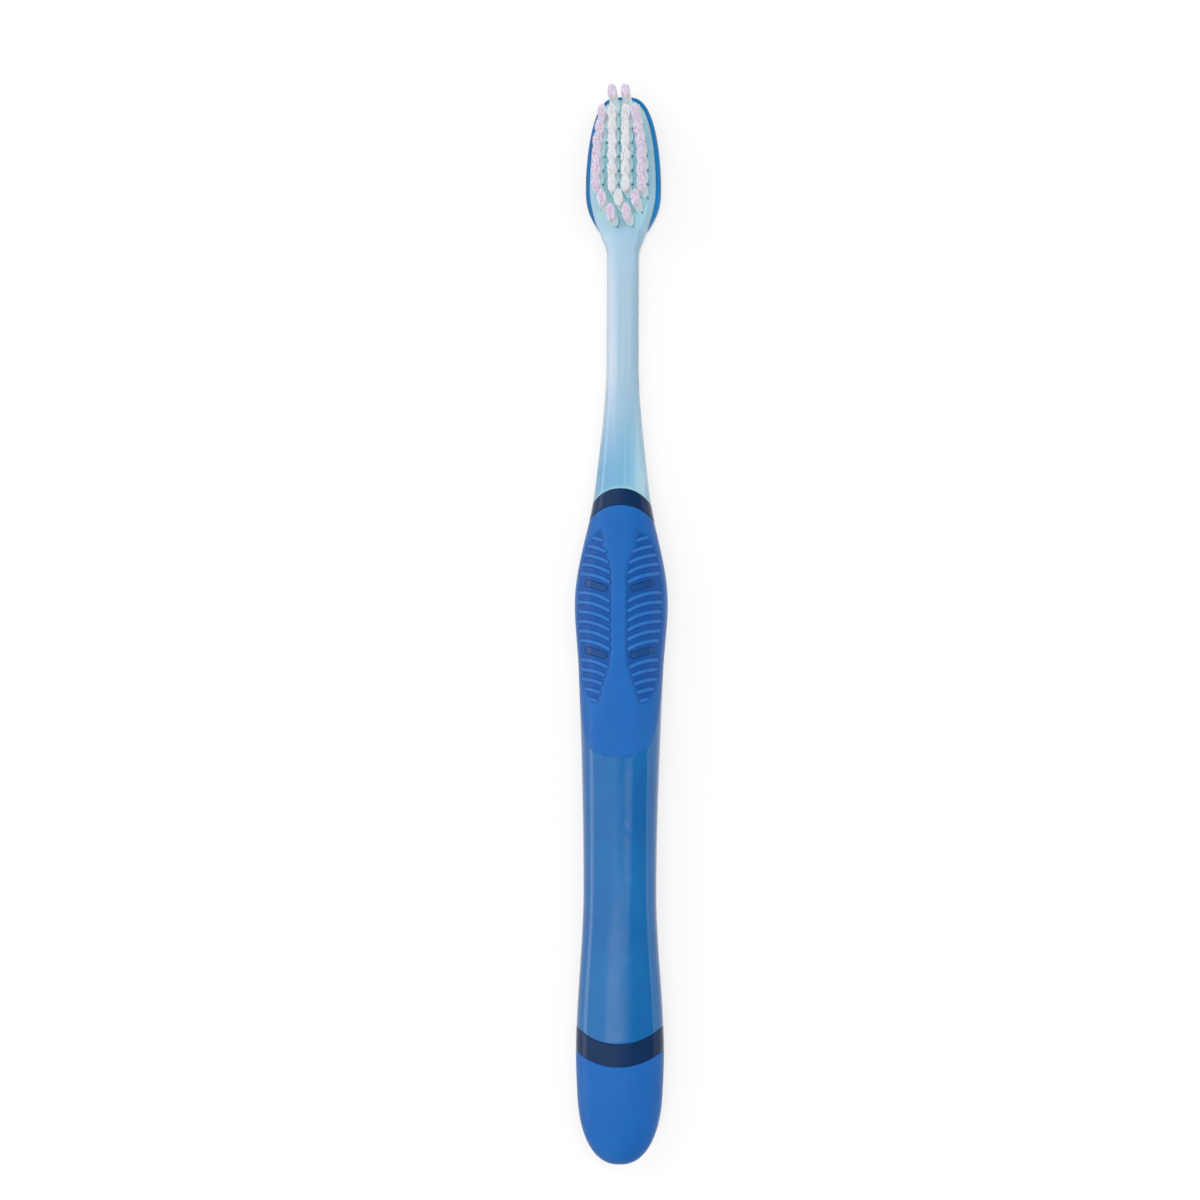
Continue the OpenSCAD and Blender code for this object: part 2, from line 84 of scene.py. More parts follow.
neckNarrowEnd = headLength + brush["neckStraight"]
rimFadeAt = headLength * brush["rimFade"]
rimEndAt = headLength * brush["rimEnd"]
neckTop = neckHeight + brush["neckThickness"] / 2
neckLow = neckHeight - brush["neckThickness"] / 2
collarTop = neckHeight + brush["collarThickness"] * brush["collarFront"]
collarLow = neckHeight - brush["collarThickness"] * (1 - brush["collarFront"])

widthKnots = [
    [headLength, brush["neckWidth"]],
    [neckNarrowEnd, brush["neckWidth"]],
    [collarAt, brush["collarWidth"] * brush["collarStart"]],
    [gripAt, brush["gripWidth"]],
    [palmAt, brush["palmWidth"]],
    [waistAt, brush["waistWidth"]],
    [heelAt, brush["heelWidth"]],
    [brushLength, brush["heelWidth"] * brush["heelTaper"]],
]
frontKnots = [
    [rimFadeAt, headFront], [neckRootAt, neckTop], [neckNarrowEnd, neckTop],
    [collarAt, collarTop],
    [gripAt, brush["gripThickness"]],
    [palmAt, brush["gripThickness"] * brush["palmShare"]],
    [waistAt, brush["waistLift"] + brush["waistThickness"]],
    [heelAt, brush["heelThickness"]],
    [brushLength, brush["heelThickness"] * brush["heelTaper"]],
]
backKnots = [
    [rimFadeAt, headBack], [neckRootAt, neckLow], [neckNarrowEnd, neckLow],
    [collarAt, collarLow],
    [gripAt, -restDepth], [palmAt, -restDepth],
    [waistAt, brush["waistLift"]],
    [heelAt, -restDepth], [heelCapAt, -restDepth],
    [brushLength, brush["heelThickness"] * brush["heelRise"]],
]
squareKnots = [
    [rimFadeAt, brush["headSquare"]],
    [neckNarrowEnd, brush["neckSquare"]],
    [gripAt, brush["handleSquare"]],
]


def toX(at):  # the x of a station, and the station of an x
    return brushLength / 2 - at


def smoothCurve(knots, at):
    xs, ys = np.array(knots, float).T
    secants = np.diff(ys) / np.diff(xs)
    slopes = np.zeros(len(xs))
    product = secants[:-1] * secants[1:]
    level = np.where(product > 0, secants[:-1] + secants[1:], 1)
    slopes[1:-1] = np.where(product > 0, 2 * product / level, 0)
    at = np.clip(at, xs[0], xs[-1])
    i = np.clip(np.searchsorted(xs, at, side="right") - 1, 0, len(xs) - 2)
    span = xs[i + 1] - xs[i]
    t = (at - xs[i]) / span
    return (ys[i] * (2 * t**3 - 3 * t**2 + 1) + ys[i + 1] * (3 * t**2 - 2 * t**3)
            + span * (slopes[i] * (t**3 - 2 * t**2 + t) + slopes[i + 1] * (t**3 - t**2)))


def ramp(low, high, value):
    t = np.clip((value - low) / (high - low), 0, 1)
    return t * t * (3 - 2 * t)


def softMin(a, b, radius):
    h = np.clip(0.5 + 0.5 * (b - a) / radius, 0, 1)
    return b * (1 - h) + a * h - radius * h * (1 - h)


def rounded(distance, radius):  # how far a rounded edge has dropped at a distance from it
    d = np.clip(distance, 0, radius)
    return radius - np.sqrt(np.maximum(radius**2 - (radius - d) ** 2, 0))


def heelShrink(at):
    u = np.clip((at - heelCapAt) / brush["heelRounding"], 0, 1)
    return np.maximum(1 - u ** brush["heelPower"], 0) ** (1 / brush["heelPower"])


def halfWidth(at, inset=0.0):
    u = np.clip((headWidest - at) / (headWidest - inset), 0, 1)
    toe = (brush["headWidth"] / 2 - inset) * (1 - u ** brush["toePower"]) ** (1 / brush["toeRoot"])
    v = np.clip((at - headWidest) / (headLength - headWidest), 0, 1)
    swing = 1 + np.cos(np.pi * v ** brush["shoulderLean"])
    widening = (brush["headWidth"] - brush["neckWidth"]) / 4 * swing
    shoulder = brush["neckWidth"] / 2 - inset + widening
    rest = (smoothCurve(widthKnots, at) / 2 - inset) * heelShrink(at)
    return np.where(at < headWidest, toe, np.where(at < headLength, shoulder, rest))


def sectionSizes(at, side=0.0, front=0.0, back=0.0):
    draw = rounded(at - side, brush["toeRounding"])
    top = smoothCurve(frontKnots, at) - front - draw
    low = smoothCurve(backKnots, at) + back + draw
    middle = (top + low) / 2
    fade, shrink = brush["crownFade"], heelShrink(at)
    crown = brush["crown"] * (top - low) * (1 - ramp(rimFadeAt - fade, rimFadeAt + fade, at))
    rise, fall = (top + crown - middle) * shrink, (middle - low) * shrink
    return halfWidth(at, side), top, middle, rise, fall


def skin(at, angle, side=0.0, front=0.0, back=0.0):  # points of the outer form, with insets
    half, top, middle, rise, fall = sectionSizes(at, side, front, back)
    power = 2 / smoothCurve(squareKnots, at)
    c, s = np.cos(angle), np.sin(angle)
    y = half * np.sign(c) * np.abs(c) ** power
    z = middle + np.where(s > 0, rise, fall) * np.sign(s) * np.abs(s) ** power
    z = softMin(z, top, brush["faceEdge"])
    z = -softMin(-z, 0 * z, brush["restEdge"])
    return np.stack(np.broadcast_arrays(toX(at), y, z), -1)


def angleAt(at, height):  # where the outer form passes through a height, on the +Y side
    _, _, middle, rise, fall = sectionSizes(at)
    power = smoothCurve(squareKnots, at) / 2
    v = (height - middle) / np.where(height > middle, rise, fall)
    return np.arcsin(np.clip(np.sign(v) * np.abs(v) ** power, -1, 1))


def skinHeight(at, y):  # the front surface's height at a place
    half, top, middle, rise, _ = sectionSizes(at)
    square = smoothCurve(squareKnots, at)
    share = np.clip(np.abs(y) / half, 0, 1) ** square
    return softMin(middle + rise * (1 - share) ** (1 / square), top, brush["faceEdge"])


# A seam gives the station at a distance y from the middle line, and a side seam the height at a
# station. With way 1 its crown points to the toe, or down, and with -1 the other way.
def arc(crown, radius, way=1, centre=0.0):
    return lambda y: crown + way * radius - way * np.sqrt(
        np.maximum(radius**2 - (y - centre) ** 2, 0))


neckSeam = arc(collarAt, seams["neckRadius"])
gripSeam = arc(collarEnd, seams["gripRadius"])
lowerSeam = arc(gripEnd, seams["lowerRadius"], -1)
backEndSeam = arc(gripEnd - seams["backShort"], seams["lowerRadius"], -1)
heelBandSeam = arc(heelBandAt, seams["heelRadius"], -1)
heelGripSeam = arc(heelGripAt, seams["heelBandRadius"], -1)
frontSideHeight = arc(seams["frontHeight"], seams["sideRadius"], 1, gripAt)
backSideHeight = arc(seams["backHeight"], seams["sideRadius"], -1, gripAt)


def stationOnSeam(seam, angle, near, rounds=40):  # the seam's station for every angle
    at = near
    for _ in range(rounds):
        at = seam(skin(at, angle(at) if callable(angle) else angle)[..., 1])
    return at


def ringAngles(count):
    return np.linspace(0, 2 * np.pi, count, endpoint=False)


def sunk(grid, depth, wrap=True):  # the grid, this deep under its own surface
    padded = np.concatenate([grid[:, -1:], grid, grid[:, :1]], 1) if wrap else grid
    across = np.gradient(padded, axis=1)[:, 1:-1] if wrap else np.gradient(grid, axis=1)
    normals = np.cross(across, np.gradient(grid, axis=0))
    normals = normals / np.maximum(np.linalg.norm(normals, axis=-1, keepdims=True), 1e-9)
    outward = grid[..., 1:] - np.array([0, neckHeight])
    return grid - normals * np.sign(np.sum(normals[..., 1:] * outward)) * depth[..., None]


def linked(name, data):
    piece = bpy.data.objects.new(name, data)
    bpy.context.scene.collection.objects.link(piece)
    return piece


def newMesh(name, points, edges=(), faces=()):
    mesh = bpy.data.meshes.new(name)
    mesh.from_pydata((np.asarray(points).reshape(-1, 3) * mm).tolist(), edges, faces)
    return mesh


def meshPiece(name, points, faces, merge=0.0):
    mesh = newMesh(name, points, [], faces)
    work = bmesh.new()
    work.from_mesh(mesh)
    if merge:
        bmesh.ops.remove_doubles(work, verts=work.verts, dist=merge * mm)
        bmesh.ops.dissolve_degenerate(work, edges=work.edges, dist=merge * mm * 0.1)
    bmesh.ops.recalc_face_normals(work, faces=work.faces)
    work.to_mesh(mesh)
    work.free()
    mesh.shade_smooth()
    return linked(name, mesh)


def gridFaces(rows, columns, wrap, first=0, flip=False):
    ids = first + np.arange(rows * columns).reshape(rows, columns)
    if wrap:
        ids = np.concatenate([ids, ids[:, :1]], 1)
    quads = np.stack([ids[:-1, :-1], ids[:-1, 1:], ids[1:, 1:], ids[1:, :-1]], -1).reshape(-1, 4)
    return (quads[:, ::-1] if flip else quads).tolist()


def tubeFaces(rows, columns, capFirst=False, capLast=False, first=0):
    ids = first + np.arange(rows * columns).reshape(rows, columns)
    caps = [ids[0, ::-1].tolist()] * capFirst + [ids[-1].tolist()] * capLast
    return gridFaces(rows, columns, True, first) + caps


def shellPiece(name, outer, inner, wrap):  # a closed wall between two grids of the same size
    rows, columns = outer.shape[:2]
    count = rows * columns
    faces = gridFaces(rows, columns, wrap) + gridFaces(rows, columns, wrap, count, True)
    ids = np.arange(count).reshape(rows, columns)
    borders = [[*ids[i], ids[i, 0]] for i in (0, -1)] if wrap else [
        [*ids[0], *ids[1:, -1], *ids[-1, -2::-1], *ids[-2::-1, 0]]]
    for border in np.array(borders).tolist():
        faces += [[a, b, b + count, a + count] for a, b in zip(border, border[1:])]
    return meshPiece(name, [outer, inner], faces)


def stackedRings(name, stacks):  # closed solids from stacks of rings, each a list of points
    points, faces = [], []
    for rings in stacks:
        faces += tubeFaces(len(rings), len(rings[0]), True, True, len(points))
        points += np.concatenate(rings).tolist()
    return meshPiece(name, points, faces)


def gradedSteps(length, step, edge):  # shares of a length, with fine steps at its rounded ends
    fine = edge * (1 - np.cos(np.linspace(0, np.pi / 2, fineSteps)))
    coarse = np.linspace(edge, length - edge, max(3, int(round((length - 2 * edge) / step)) + 1))
    return np.concatenate([fine[:-1], coarse, length - fine[-2::-1]]) / length


def edgeDistance(grid, wrap):  # distance of every point from the nearest border, along the grid
    def run(g):
        steps = np.linalg.norm(np.diff(g, axis=0), axis=-1)
        path = np.concatenate([np.zeros((1, g.shape[1])), np.cumsum(steps, 0)])
        return np.minimum(path, path[-1:] - path)
    along = run(grid)
    return along if wrap else np.minimum(along, run(grid.transpose(1, 0, 2)).T)


def wallPiece(name, at, angles, wrap, detail, wall, relief=None, leastWall=0.3):
    base = skin(at, angles)
    depth = detail.get("sink", 0.0) + rounded(edgeDistance(base, wrap), detail["edge"])
    if relief:
        depth = depth + relief(at, base)
    thickness = np.maximum(wall(at) if callable(wall) else wall, depth + leastWall)
    return shellPiece(name, sunk(base, depth, wrap), sunk(base, thickness, wrap), wrap)


def sleevePiece(name, seamA, seamB, detail, wall, relief=None):  # right round the handle
    angles = ringAngles(detail["ring"])
    first, last = (stationOnSeam(seam, angles, collarEnd) for seam in (seamA, seamB))
    shares = gradedSteps(float(np.mean(last - first)), detail["step"], detail["edge"])[:, None]
    return wallPiece(name, first + shares * (last - first), angles, True, detail, wall, relief)


def seamCap(edge, steps, centre, seam, gap=0.0):  # rings that close a tube's end along its seam
    shares = np.linspace(*steps)[:, None]
    y, z = edge[:, 1] * shares, centre + (edge[:, 2] - centre) * shares
    return np.stack([toX(seam(y)) + gap, y, z], -1)


def onCircle(radius, turn):
    return np.stack([radius * np.cos(turn), radius * np.sin(turn)], -1)


def turned(points, angle):
    c, s = math.cos(angle), math.sin(angle)
    return points @ np.array([[c, s], [-s, c]])


def vertexPlaces(piece):
    return np.array([vertex.co for vertex in piece.data.vertices]).T / mm


def marked(piece, name, values):  # a number at every vertex, for the nodes
    piece.data.attributes.new(name, "FLOAT", "POINT").data.foreach_set("value", values)


def joined(name, *pieces):
    with bpy.context.temp_override(active_object=pieces[0], selected_editable_objects=list(pieces)):
        bpy.ops.object.join()
    pieces[0].name = name
    return pieces[0]


def evaluatedMesh(piece):
    bpy.context.view_layer.update()
    return bpy.data.meshes.new_from_object(
        piece.evaluated_get(bpy.context.evaluated_depsgraph_get()))


def cut(piece, cutter):
    modifier = piece.modifiers.new("cut", "BOOLEAN")
    modifier.operation, modifier.solver, modifier.object = "DIFFERENCE", "EXACT", cutter
    mesh = evaluatedMesh(piece)
    piece.modifiers.remove(modifier)
    piece.data = mesh
    bpy.data.objects.remove(cutter)


def ride(piece, material, slot, *nodes):
    piece.data.materials.clear()
    piece.data.materials.append(material)
    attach(piece, "root")
    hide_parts(*nodes)
    print(piece.name + ":", len(piece.data.polygons), "faces")


# Nodes, for materials and for Geometry Nodes
def feed(tree, socket, value):  # joins an output to a socket, or sets the socket's own value
    if isinstance(value, bpy.types.NodeSocket):
        tree.links.new(value, socket)
    else:
        socket.default_value = value


def add(tree, kind, inputs=None, out=0, **settings):  # a new node; gives one output, or all
    node = tree.nodes.new(kind)
    for key, value in settings.items():
        setattr(node, key, value)
    for key, value in (inputs or {}).items():
        feed(tree, node.inputs[key], value)
    return node.outputs if out is None else node.outputs[out]


def grow(tree, kind, *more, **settings):  # a Geometry node
    return add(tree, "GeometryNode" + kind, *more, **settings)


def maths(tree, operation, *values):
    return add(tree, "ShaderNodeMath", dict(enumerate(values)), operation=operation)


def times(tree, a, b):
    return maths(tree, "MULTIPLY", a, b)


def vectorMaths(tree, operation, *values, out=0):
    return add(tree, "ShaderNodeVectorMath", dict(enumerate(values)), out, operation=operation)


def scaled(tree, vector, scale):
    return add(tree, "ShaderNodeVectorMath", {0: vector, "Scale": scale}, operation="SCALE")


def combined(tree, x, y, z):
    return add(tree, "ShaderNodeCombineXYZ", {"X": x, "Y": y, "Z": z})


def mapped(tree, value, low, high, toLow=0.0, toHigh=1.0):
    return add(tree, "ShaderNodeMapRange", {"Value": value, "From Min": low, "From Max": high,
                                           "To Min": toLow, "To Max": toHigh})


# Materials
noiseRange = (0.3, 0.7)  # what a noise texture mostly gives


def linear(hexColour):
    values = [int(hexColour[i:i + 2], 16) / 255 for i in (0, 2, 4)]
    return [v / 12.92 if v <= 0.04045 else ((v + 0.055) / 1.055) ** 2.4 for v in values] + [1.0]


def blended(tree, share, first, second):  # of two colours, each as hex or as an output
    a, b = (linear(c) if isinstance(c, str) else c for c in (first, second))
    return add(tree, "ShaderNodeMix", {0: share, 6: a, 7: b}, 2, data_type="RGBA")


def objectCoords(tree):
    return add(tree, "ShaderNodeTexCoord", out="Object")


def along(tree, axis):
    return add(tree, "ShaderNodeSeparateXYZ", {"Vector": objectCoords(tree)}, axis)


def stationShare(tree, start, end):  # 0 to 1 between two stations
    return mapped(tree, along(tree, "X"), toX(start) * mm, toX(end) * mm)


def attribute(tree, name):
    return add(tree, "ShaderNodeAttribute", out="Fac", attribute_name=name)


def noise(tree, scale, detail):
    return add(tree, "ShaderNodeTexNoise", {"Vector": objectCoords(tree), "Scale": scale,
                                           "Detail": detail})


def tint(scale, detail, first, second):  # two colours mixed by a noise
    return lambda tree: blended(tree, noise(tree, scale, detail), first, second)


def sheen(scale, detail, low, high):  # roughness from a noise
    return lambda tree: mapped(tree, noise(tree, scale, detail), *noiseRange, low, high)


def grain(scale, detail, strength, distance):  # bump from a noise
    return lambda tree: add(tree, "ShaderNodeBump", {
        "Height": noise(tree, scale, detail), "Strength": strength, "Distance": distance * mm})


def newMaterial(name, settings):  # a socket takes a value, or what a function of the tree gives
    material = bpy.data.materials.new(name)
    material.use_nodes = True
    tree = material.node_tree
    for label, value in settings.items():
        feed(tree, tree.nodes["Principled BSDF"].inputs[label],
             value(tree) if callable(value) else value)
    return material


def paleTone(tree):  # painted light on the pale plastic: painted reflection streaks and a painted lighter +Y side on the neck, the plate painted lighter among the tufts against their shade, the collar painted lighter on the -Y side, and a painted glow along the seam
    look = dict(head="b4dff5", amongTufts="c8f6ff", neckLeft="d2e0f0", neckRight="9ac5da",
                collarLeft="7cb9de", collarMiddle="7cbddd", collarRight="c6ecfd",
                seam="a4e6f8")
    area = dict(streaks=(12, 520, 60), streakShift=0.28, side=0.0028,
                tuftedAcross=(0.0034, 0.0046), tuftedToe=(0.5, 3), tuftedHeel=(25, 21),
                neck=(20, 34), collar=(50, 68), rightHalf=(0.05, 0.5), leftHalf=(0.5, 0.95))
    # painted reflection streaks: a noise stretched along the neck shifts the side share
    reflectionStreak = add(tree, "ShaderNodeTexNoise", {
        "Vector": vectorMaths(tree, "MULTIPLY", objectCoords(tree), area["streaks"]),
        "Scale": 1.0, "Detail": 1.0})
    shift = mapped(tree, reflectionStreak, *noiseRange, -area["streakShift"], area["streakShift"])
    side = maths(tree, "ADD", mapped(tree, along(tree, "Y"), -area["side"], area["side"]), shift)
    neck = blended(tree, side, look["neckRight"], look["neckLeft"])
    low = blended(tree, mapped(tree, side, *area["rightHalf"]),
                  look["collarRight"], look["collarMiddle"])
    low = blended(tree, mapped(tree, side, *area["leftHalf"]), low, look["collarLeft"])
    # painted light: the plate lighter among the tufts, where their shade falls
    across = maths(tree, "ABSOLUTE", along(tree, "Y"))
    tuftLight = times(tree, mapped(tree, across, *area["tuftedAcross"], 1.0, 0.0),
                   times(tree, stationShare(tree, *area["tuftedToe"]),
                         stationShare(tree, *area["tuftedHeel"])))
    headTone = blended(tree, tuftLight, look["head"], look["amongTufts"])
    body = blended(tree, stationShare(tree, *area["neck"]), headTone, neck)
    body = blended(tree, stationShare(tree, *area["collar"]), body, low)
    # painted glow: the bright seam line where the neck meets the collar
    return blended(tree, attribute(tree, "seam"), body, look["seam"])


def azureTone(tree):  # painted highlight: lighter on the -Y side
    tone = maths(tree, "MULTIPLY_ADD", noise(tree, 260, 3), 0.7,
                 mapped(tree, along(tree, "Y"), -0.006, 0.003, 0.45, -0.05))
    return blended(tree, tone, "0163a4", "0f86c6")


def navyTone(tree):  # lighter on the window pads
    band = blended(tree, noise(tree, 180, 2), "0a284a", "10325f")
    return blended(tree, attribute(tree, "window"), band, "1c4a86")


def royalTone(tree):  # painted shade, darker in the hollows, and a painted highlight, lighter on the ribs
    skinTone = blended(tree, noise(tree, 150, 3), "185dac", "216ebc")
    hollow = mapped(tree, attribute(tree, "hollow"), 0.2, 1.0, 0.0, 0.75)
    hollowShaded = blended(tree, hollow, skinTone, "0e4a98")
    return blended(tree, times(tree, attribute(tree, "rib"), 0.45), hollowShaded, "4485d2")


def royalSheen(tree):  # the ribs are worn a little smoother
    return maths(tree, "SUBTRACT", sheen(1200, 2, 0.3, 0.42)(tree),
                 times(tree, attribute(tree, "rib"), 0.1))


paleClearPlastic = newMaterial("paleClearPlastic", {
    "IOR": 1.49, "Transmission Weight": 0.2, "Subsurface Weight": 0.4, "Subsurface Scale": 0.002,
    "Subsurface Radius": (0.5, 0.8, 1.0), "Coat Weight": 0.35, "Coat Roughness": 0.04,
    "Base Color": paleTone, "Roughness": sheen(500, 3, 0.12, 0.2),
    "Normal": grain(350, 1, 0.05, 0.05)})
azureSoftRubber = newMaterial("azureSoftRubber", {
    "IOR": 1.42, "Specular IOR Level": 0.3, "Subsurface Weight": 0.15, "Subsurface Scale": 0.001,
    "Subsurface Radius": (0.3, 0.6, 1.0), "Base Color": azureTone,
    "Roughness": sheen(900, 2, 0.32, 0.44), "Normal": grain(2600, 2, 0.12, 0.03)})
navyPlastic = newMaterial("navyPlastic", {
    "IOR": 1.42, "Specular IOR Level": 0.32, "Base Color": navyTone,
    "Roughness": sheen(700, 2, 0.14, 0.22), "Normal": grain(420, 1, 0.04, 0.04)})
azureClearPlastic = newMaterial("azureClearPlastic", {
    "IOR": 1.49, "Transmission Weight": 0.2, "Coat Weight": 0.15, "Coat Roughness": 0.04,
    "Subsurface Weight": 0.1, "Subsurface Scale": 0.002, "Subsurface Radius": (0.3, 0.6, 1.0),
    "Specular IOR Level": 0.42, "Base Color": tint(120, 2, "0a66b0", "1a7dc2"),
    "Roughness": sheen(600, 3, 0.09, 0.16), "Normal": grain(350, 1, 0.04, 0.05)})
royalSoftRubber = newMaterial("royalSoftRubber", {
    "IOR": 1.42, "Specular IOR Level": 0.32, "Base Color": royalTone, "Roughness": royalSheen,
    "Normal": grain(3800, 3, 0.2, 0.03)})
anchorMetal = newMaterial("anchorMetal", {
    "Metallic": 1.0, "Base Color": tint(900, 2, "8d8a80", "b5b1a4"),
    "Roughness": sheen(3000, 2, 0.25, 0.4)})


# Geometry Nodes
def newTree(name, sockets):
    tree = bpy.data.node_groups.new(name, "GeometryNodeTree")
    tree.is_modifier = True
    tree.interface.new_socket("Geometry", in_out="OUTPUT", socket_type="NodeSocketGeometry")
    for label, kind in {"Geometry": "Geometry", **sockets}.items():
        tree.interface.new_socket(label, in_out="INPUT", socket_type="NodeSocket" + kind)
    given, out = tree.nodes.new("NodeGroupInput"), tree.nodes.new("NodeGroupOutput")
    return tree, given.outputs, out.inputs[0]


def named(tree, name, kind="FLOAT"):
    return grow(tree, "InputNamedAttribute", {"Name": name}, data_type=kind)


def stored(tree, geometry, name, value, kind="FLOAT"):
    return grow(tree, "StoreNamedAttribute", {
        "Geometry": geometry, "Name": name, "Value": value}, data_type=kind, domain="POINT")


def painted(tree, geometry, material, out):  # the last node of a tree
    feed(tree, out, grow(tree, "SetMaterial", {"Geometry": geometry, "Material": material}))


def grown(piece, tree, values, name):  # runs a tree on a piece and leaves a plain mesh
    modifier = piece.modifiers.new(tree.name, "NODES")
    modifier.node_group = tree
    for item in tree.interface.items_tree:
        if item.name in values:
            modifier[item.identifier] = values[item.name]
    mesh = evaluatedMesh(piece)
    mesh.name = name
    mesh.shade_smooth()
    bpy.data.objects.remove(piece)
    return linked(name, mesh)


def ribTree():  # half-round ribs that follow paths laid over a surface
    tree, given, out = newTree("raisedRibs", {
        "Surface": "Object", "Direction": "Vector", "Rib radius": "Float", "Sink": "Float",
        "Step": "Float", "Sides": "Int", "Material": "Material"})
    node, sums, radius = partial(grow, tree), partial(maths, tree), given["Rib radius"]
    reach, leastArch, crestGain = 0.1, 0.02, 1.8
    curve = node("MeshToCurve", {"Mesh": given["Geometry"]})
    even = node("ResampleCurve", {"Curve": curve, "Length": given["Step"]}, mode="LENGTH")
    surface = node("ObjectInfo", {"Object": given["Surface"]}, "Geometry")
    hit = node("Raycast", {
        "Target Geometry": surface, "Ray Direction": given["Direction"], "Ray Length": reach}, None)
    below = scaled(tree, hit["Hit Normal"], times(tree, given["Sink"], -1.0))
    laid = node("SetPosition", {
        "Geometry": even, "Selection": hit["Is Hit"],
        "Position": vectorMaths(tree, "ADD", hit["Hit Position"], below)})
    run = node("SplineParameter", out="Length")
    total = node("SplineLength", out="Length")
    fromEnd = sums("MINIMUM", run, sums("SUBTRACT", total, run))
    share = sums("MINIMUM", sums("DIVIDE", fromEnd, radius), 1.0)
    drop = sums("SUBTRACT", 1.0, share)
    arch = sums("SUBTRACT", 1.0, times(tree, drop, drop))
    rounding = sums("SQRT", sums("MAXIMUM", arch, leastArch))
    sized = node("SetCurveRadius", {"Curve": laid, "Radius": rounding})
    profile = node("CurvePrimitiveCircle", {"Resolution": given["Sides"], "Radius": radius})
    solid = node("CurveToMesh", {"Curve": sized, "Profile Curve": profile,
                                 "Scale": node("InputRadius"), "Fill Caps": True})
    # masks for painted light: the crest share lightens the ribs as a painted highlight, and low on
    # the ribs the hollow mark paints shade at their feet
    away = node("Proximity", {0: surface}, "Distance", target_element="FACES")
    crest = sums("MINIMUM", sums("DIVIDE", away, radius), 1.0)
    rise = sums("MINIMUM", times(tree, crest, crestGain), 1.0)
    ribs = stored(tree, solid, "rib", crest)
    ribs = stored(tree, ribs, "hollow", sums("SUBTRACT", 1.0, rise))
    real = node("RealizeInstances", {"Geometry": ribs})
    painted(tree, real, given["Material"], out)
    return tree


ribNodes = ribTree()


def laidRibs(name, paths, surface, way, form, material):  # a path is a list of points
    points, edges = [], []
    for path in paths:
        edges += [(len(points) + k, len(points) + k + 1) for k in range(len(path) - 1)]
        points += list(path)
    return grown(linked(name, newMesh(name, points, edges)), ribNodes, {
        "Surface": surface, "Direction": (0, 0, way), "Material": material, **form}, name)


# Head and neck
plate = dict(rows=90, ring=128, neckStep=0.5, neckFrom=0.5, blendFrom=60.0,
             blendLength=12.0, edge=0.15, cap=(0.92, 0, 12), capGap=0.03,
             holeDiameter=1.7, holeDepth=3.2, holeSides=24, slit=(2.5, 0.24),
             slitDepth=1.0, slitTurn=35, cutAbove=1.0, seamLine=0.4)
bristles = dict(rows=9, firstRow=2.7, lastRow=6.0, innerSpacing=2.4, heelSpacing=2.8,
                outerSpacing=8.0, height=10.5, toeExtra=0.9, toeLean=7.0, toeSpread=0.2,
                root=1.2, turn=1.7)
bundle = {"Filaments": 100, "Bundle radius": 0.72 * mm, "Filament width": 0.2 * mm,
          "Fan": (0.068, 0.0, 0.0), "Unruly": 0.007, "Curl": 0.07 * mm, "Dome": 0.25 * mm,
          "Ragged": 0.05 * mm, "Seed": 7}
outerShares = [[0.12, 0.75], [0.25, 0.85], [0.5, 1], [0.75, 1], [0.88, 0.75]]


def tuftPlaces():  # [station, offset across, lean in degrees, height, outer column or not]
    last, inner = bristles["rows"] - 1, bristles["innerSpacing"] / 2
    span = headLength - bristles["lastRow"] - bristles["firstRow"]
    rows = [[0, inner, bristles["toeLean"], bristles["toeExtra"], True]]
    rows += [[row, inner, 0.0, 0.0, False] for row in range(1, last - 1)]
    rows += [[last - 1, 0.0, 0.0, 0.0, False], [last, bristles["heelSpacing"] / 2, 0.0, 0.0, True]]
    rows += [[row, bristles["outerSpacing"] / 2 * float(smoothCurve(outerShares, row / last)),
              0.0, 0.0, True] for row in range(1, last)]
    return [[bristles["firstRow"] + span * row / last, side * offset, lean,
             bristles["height"] + extra, outer]
            for row, offset, lean, extra, outer in rows for side in ([1, -1] if offset else [1])]


def plateFade(at):
    return smoothCurve([[rimFadeAt, 1], [rimEndAt, 0]], at)


def toeStations(inset, count):
    turn = np.linspace(0, np.pi / 2, count)
    return inset + (headWidest - inset) * (1 - np.cos(turn)) ** brush["toeCrowding"]


def headAndNeck():
    angles, edge = ringAngles(plate["ring"]), plate["edge"]
    start, step = plate["blendFrom"], plate["neckStep"]
    end = stationOnSeam(neckSeam, angles, collarAt)
    toe = toeStations(rim, plate["rows"])
    middle = np.arange(headWidest + plate["neckFrom"], start, step)
    shares = gradedSteps(plate["blendLength"], step, edge)[fineSteps - 1:, None]
    fixed = np.concatenate([toe, middle])[:, None] + 0 * angles
    at = np.concatenate([fixed, start + shares * (end - start)])
    fade = plateFade(at)
    body = skin(at, angles, side=rim * fade, back=brush["backPad"] * fade)
    drop = rounded(np.linalg.norm(body - body[-1:], axis=-1), edge)
    body[len(toe):] = sunk(body, drop)[len(toe):]
    cap = seamCap(body[-1], plate["cap"], neckHeight, neckSeam, plate["capGap"])
    grid = np.concatenate([body, cap])
    return meshPiece("headAndNeck", grid, tubeFaces(*grid.shape[:2]), weld)


def holeCutter(name, outline, depth):  # prisms that lean with the tufts
    stacks = []
    for at, y, lean, _, _ in places:
        slope = math.tan(math.radians(lean))
        rings = []
        for z in (headFront - depth, headFront + plate["cutAbove"]):
            x = toX(at) + (z - headFront) * slope
            rings.append([[x + p[0], y + p[1], z] for p in outline])
        stacks.append(rings)
    return stackedRings(name, stacks)


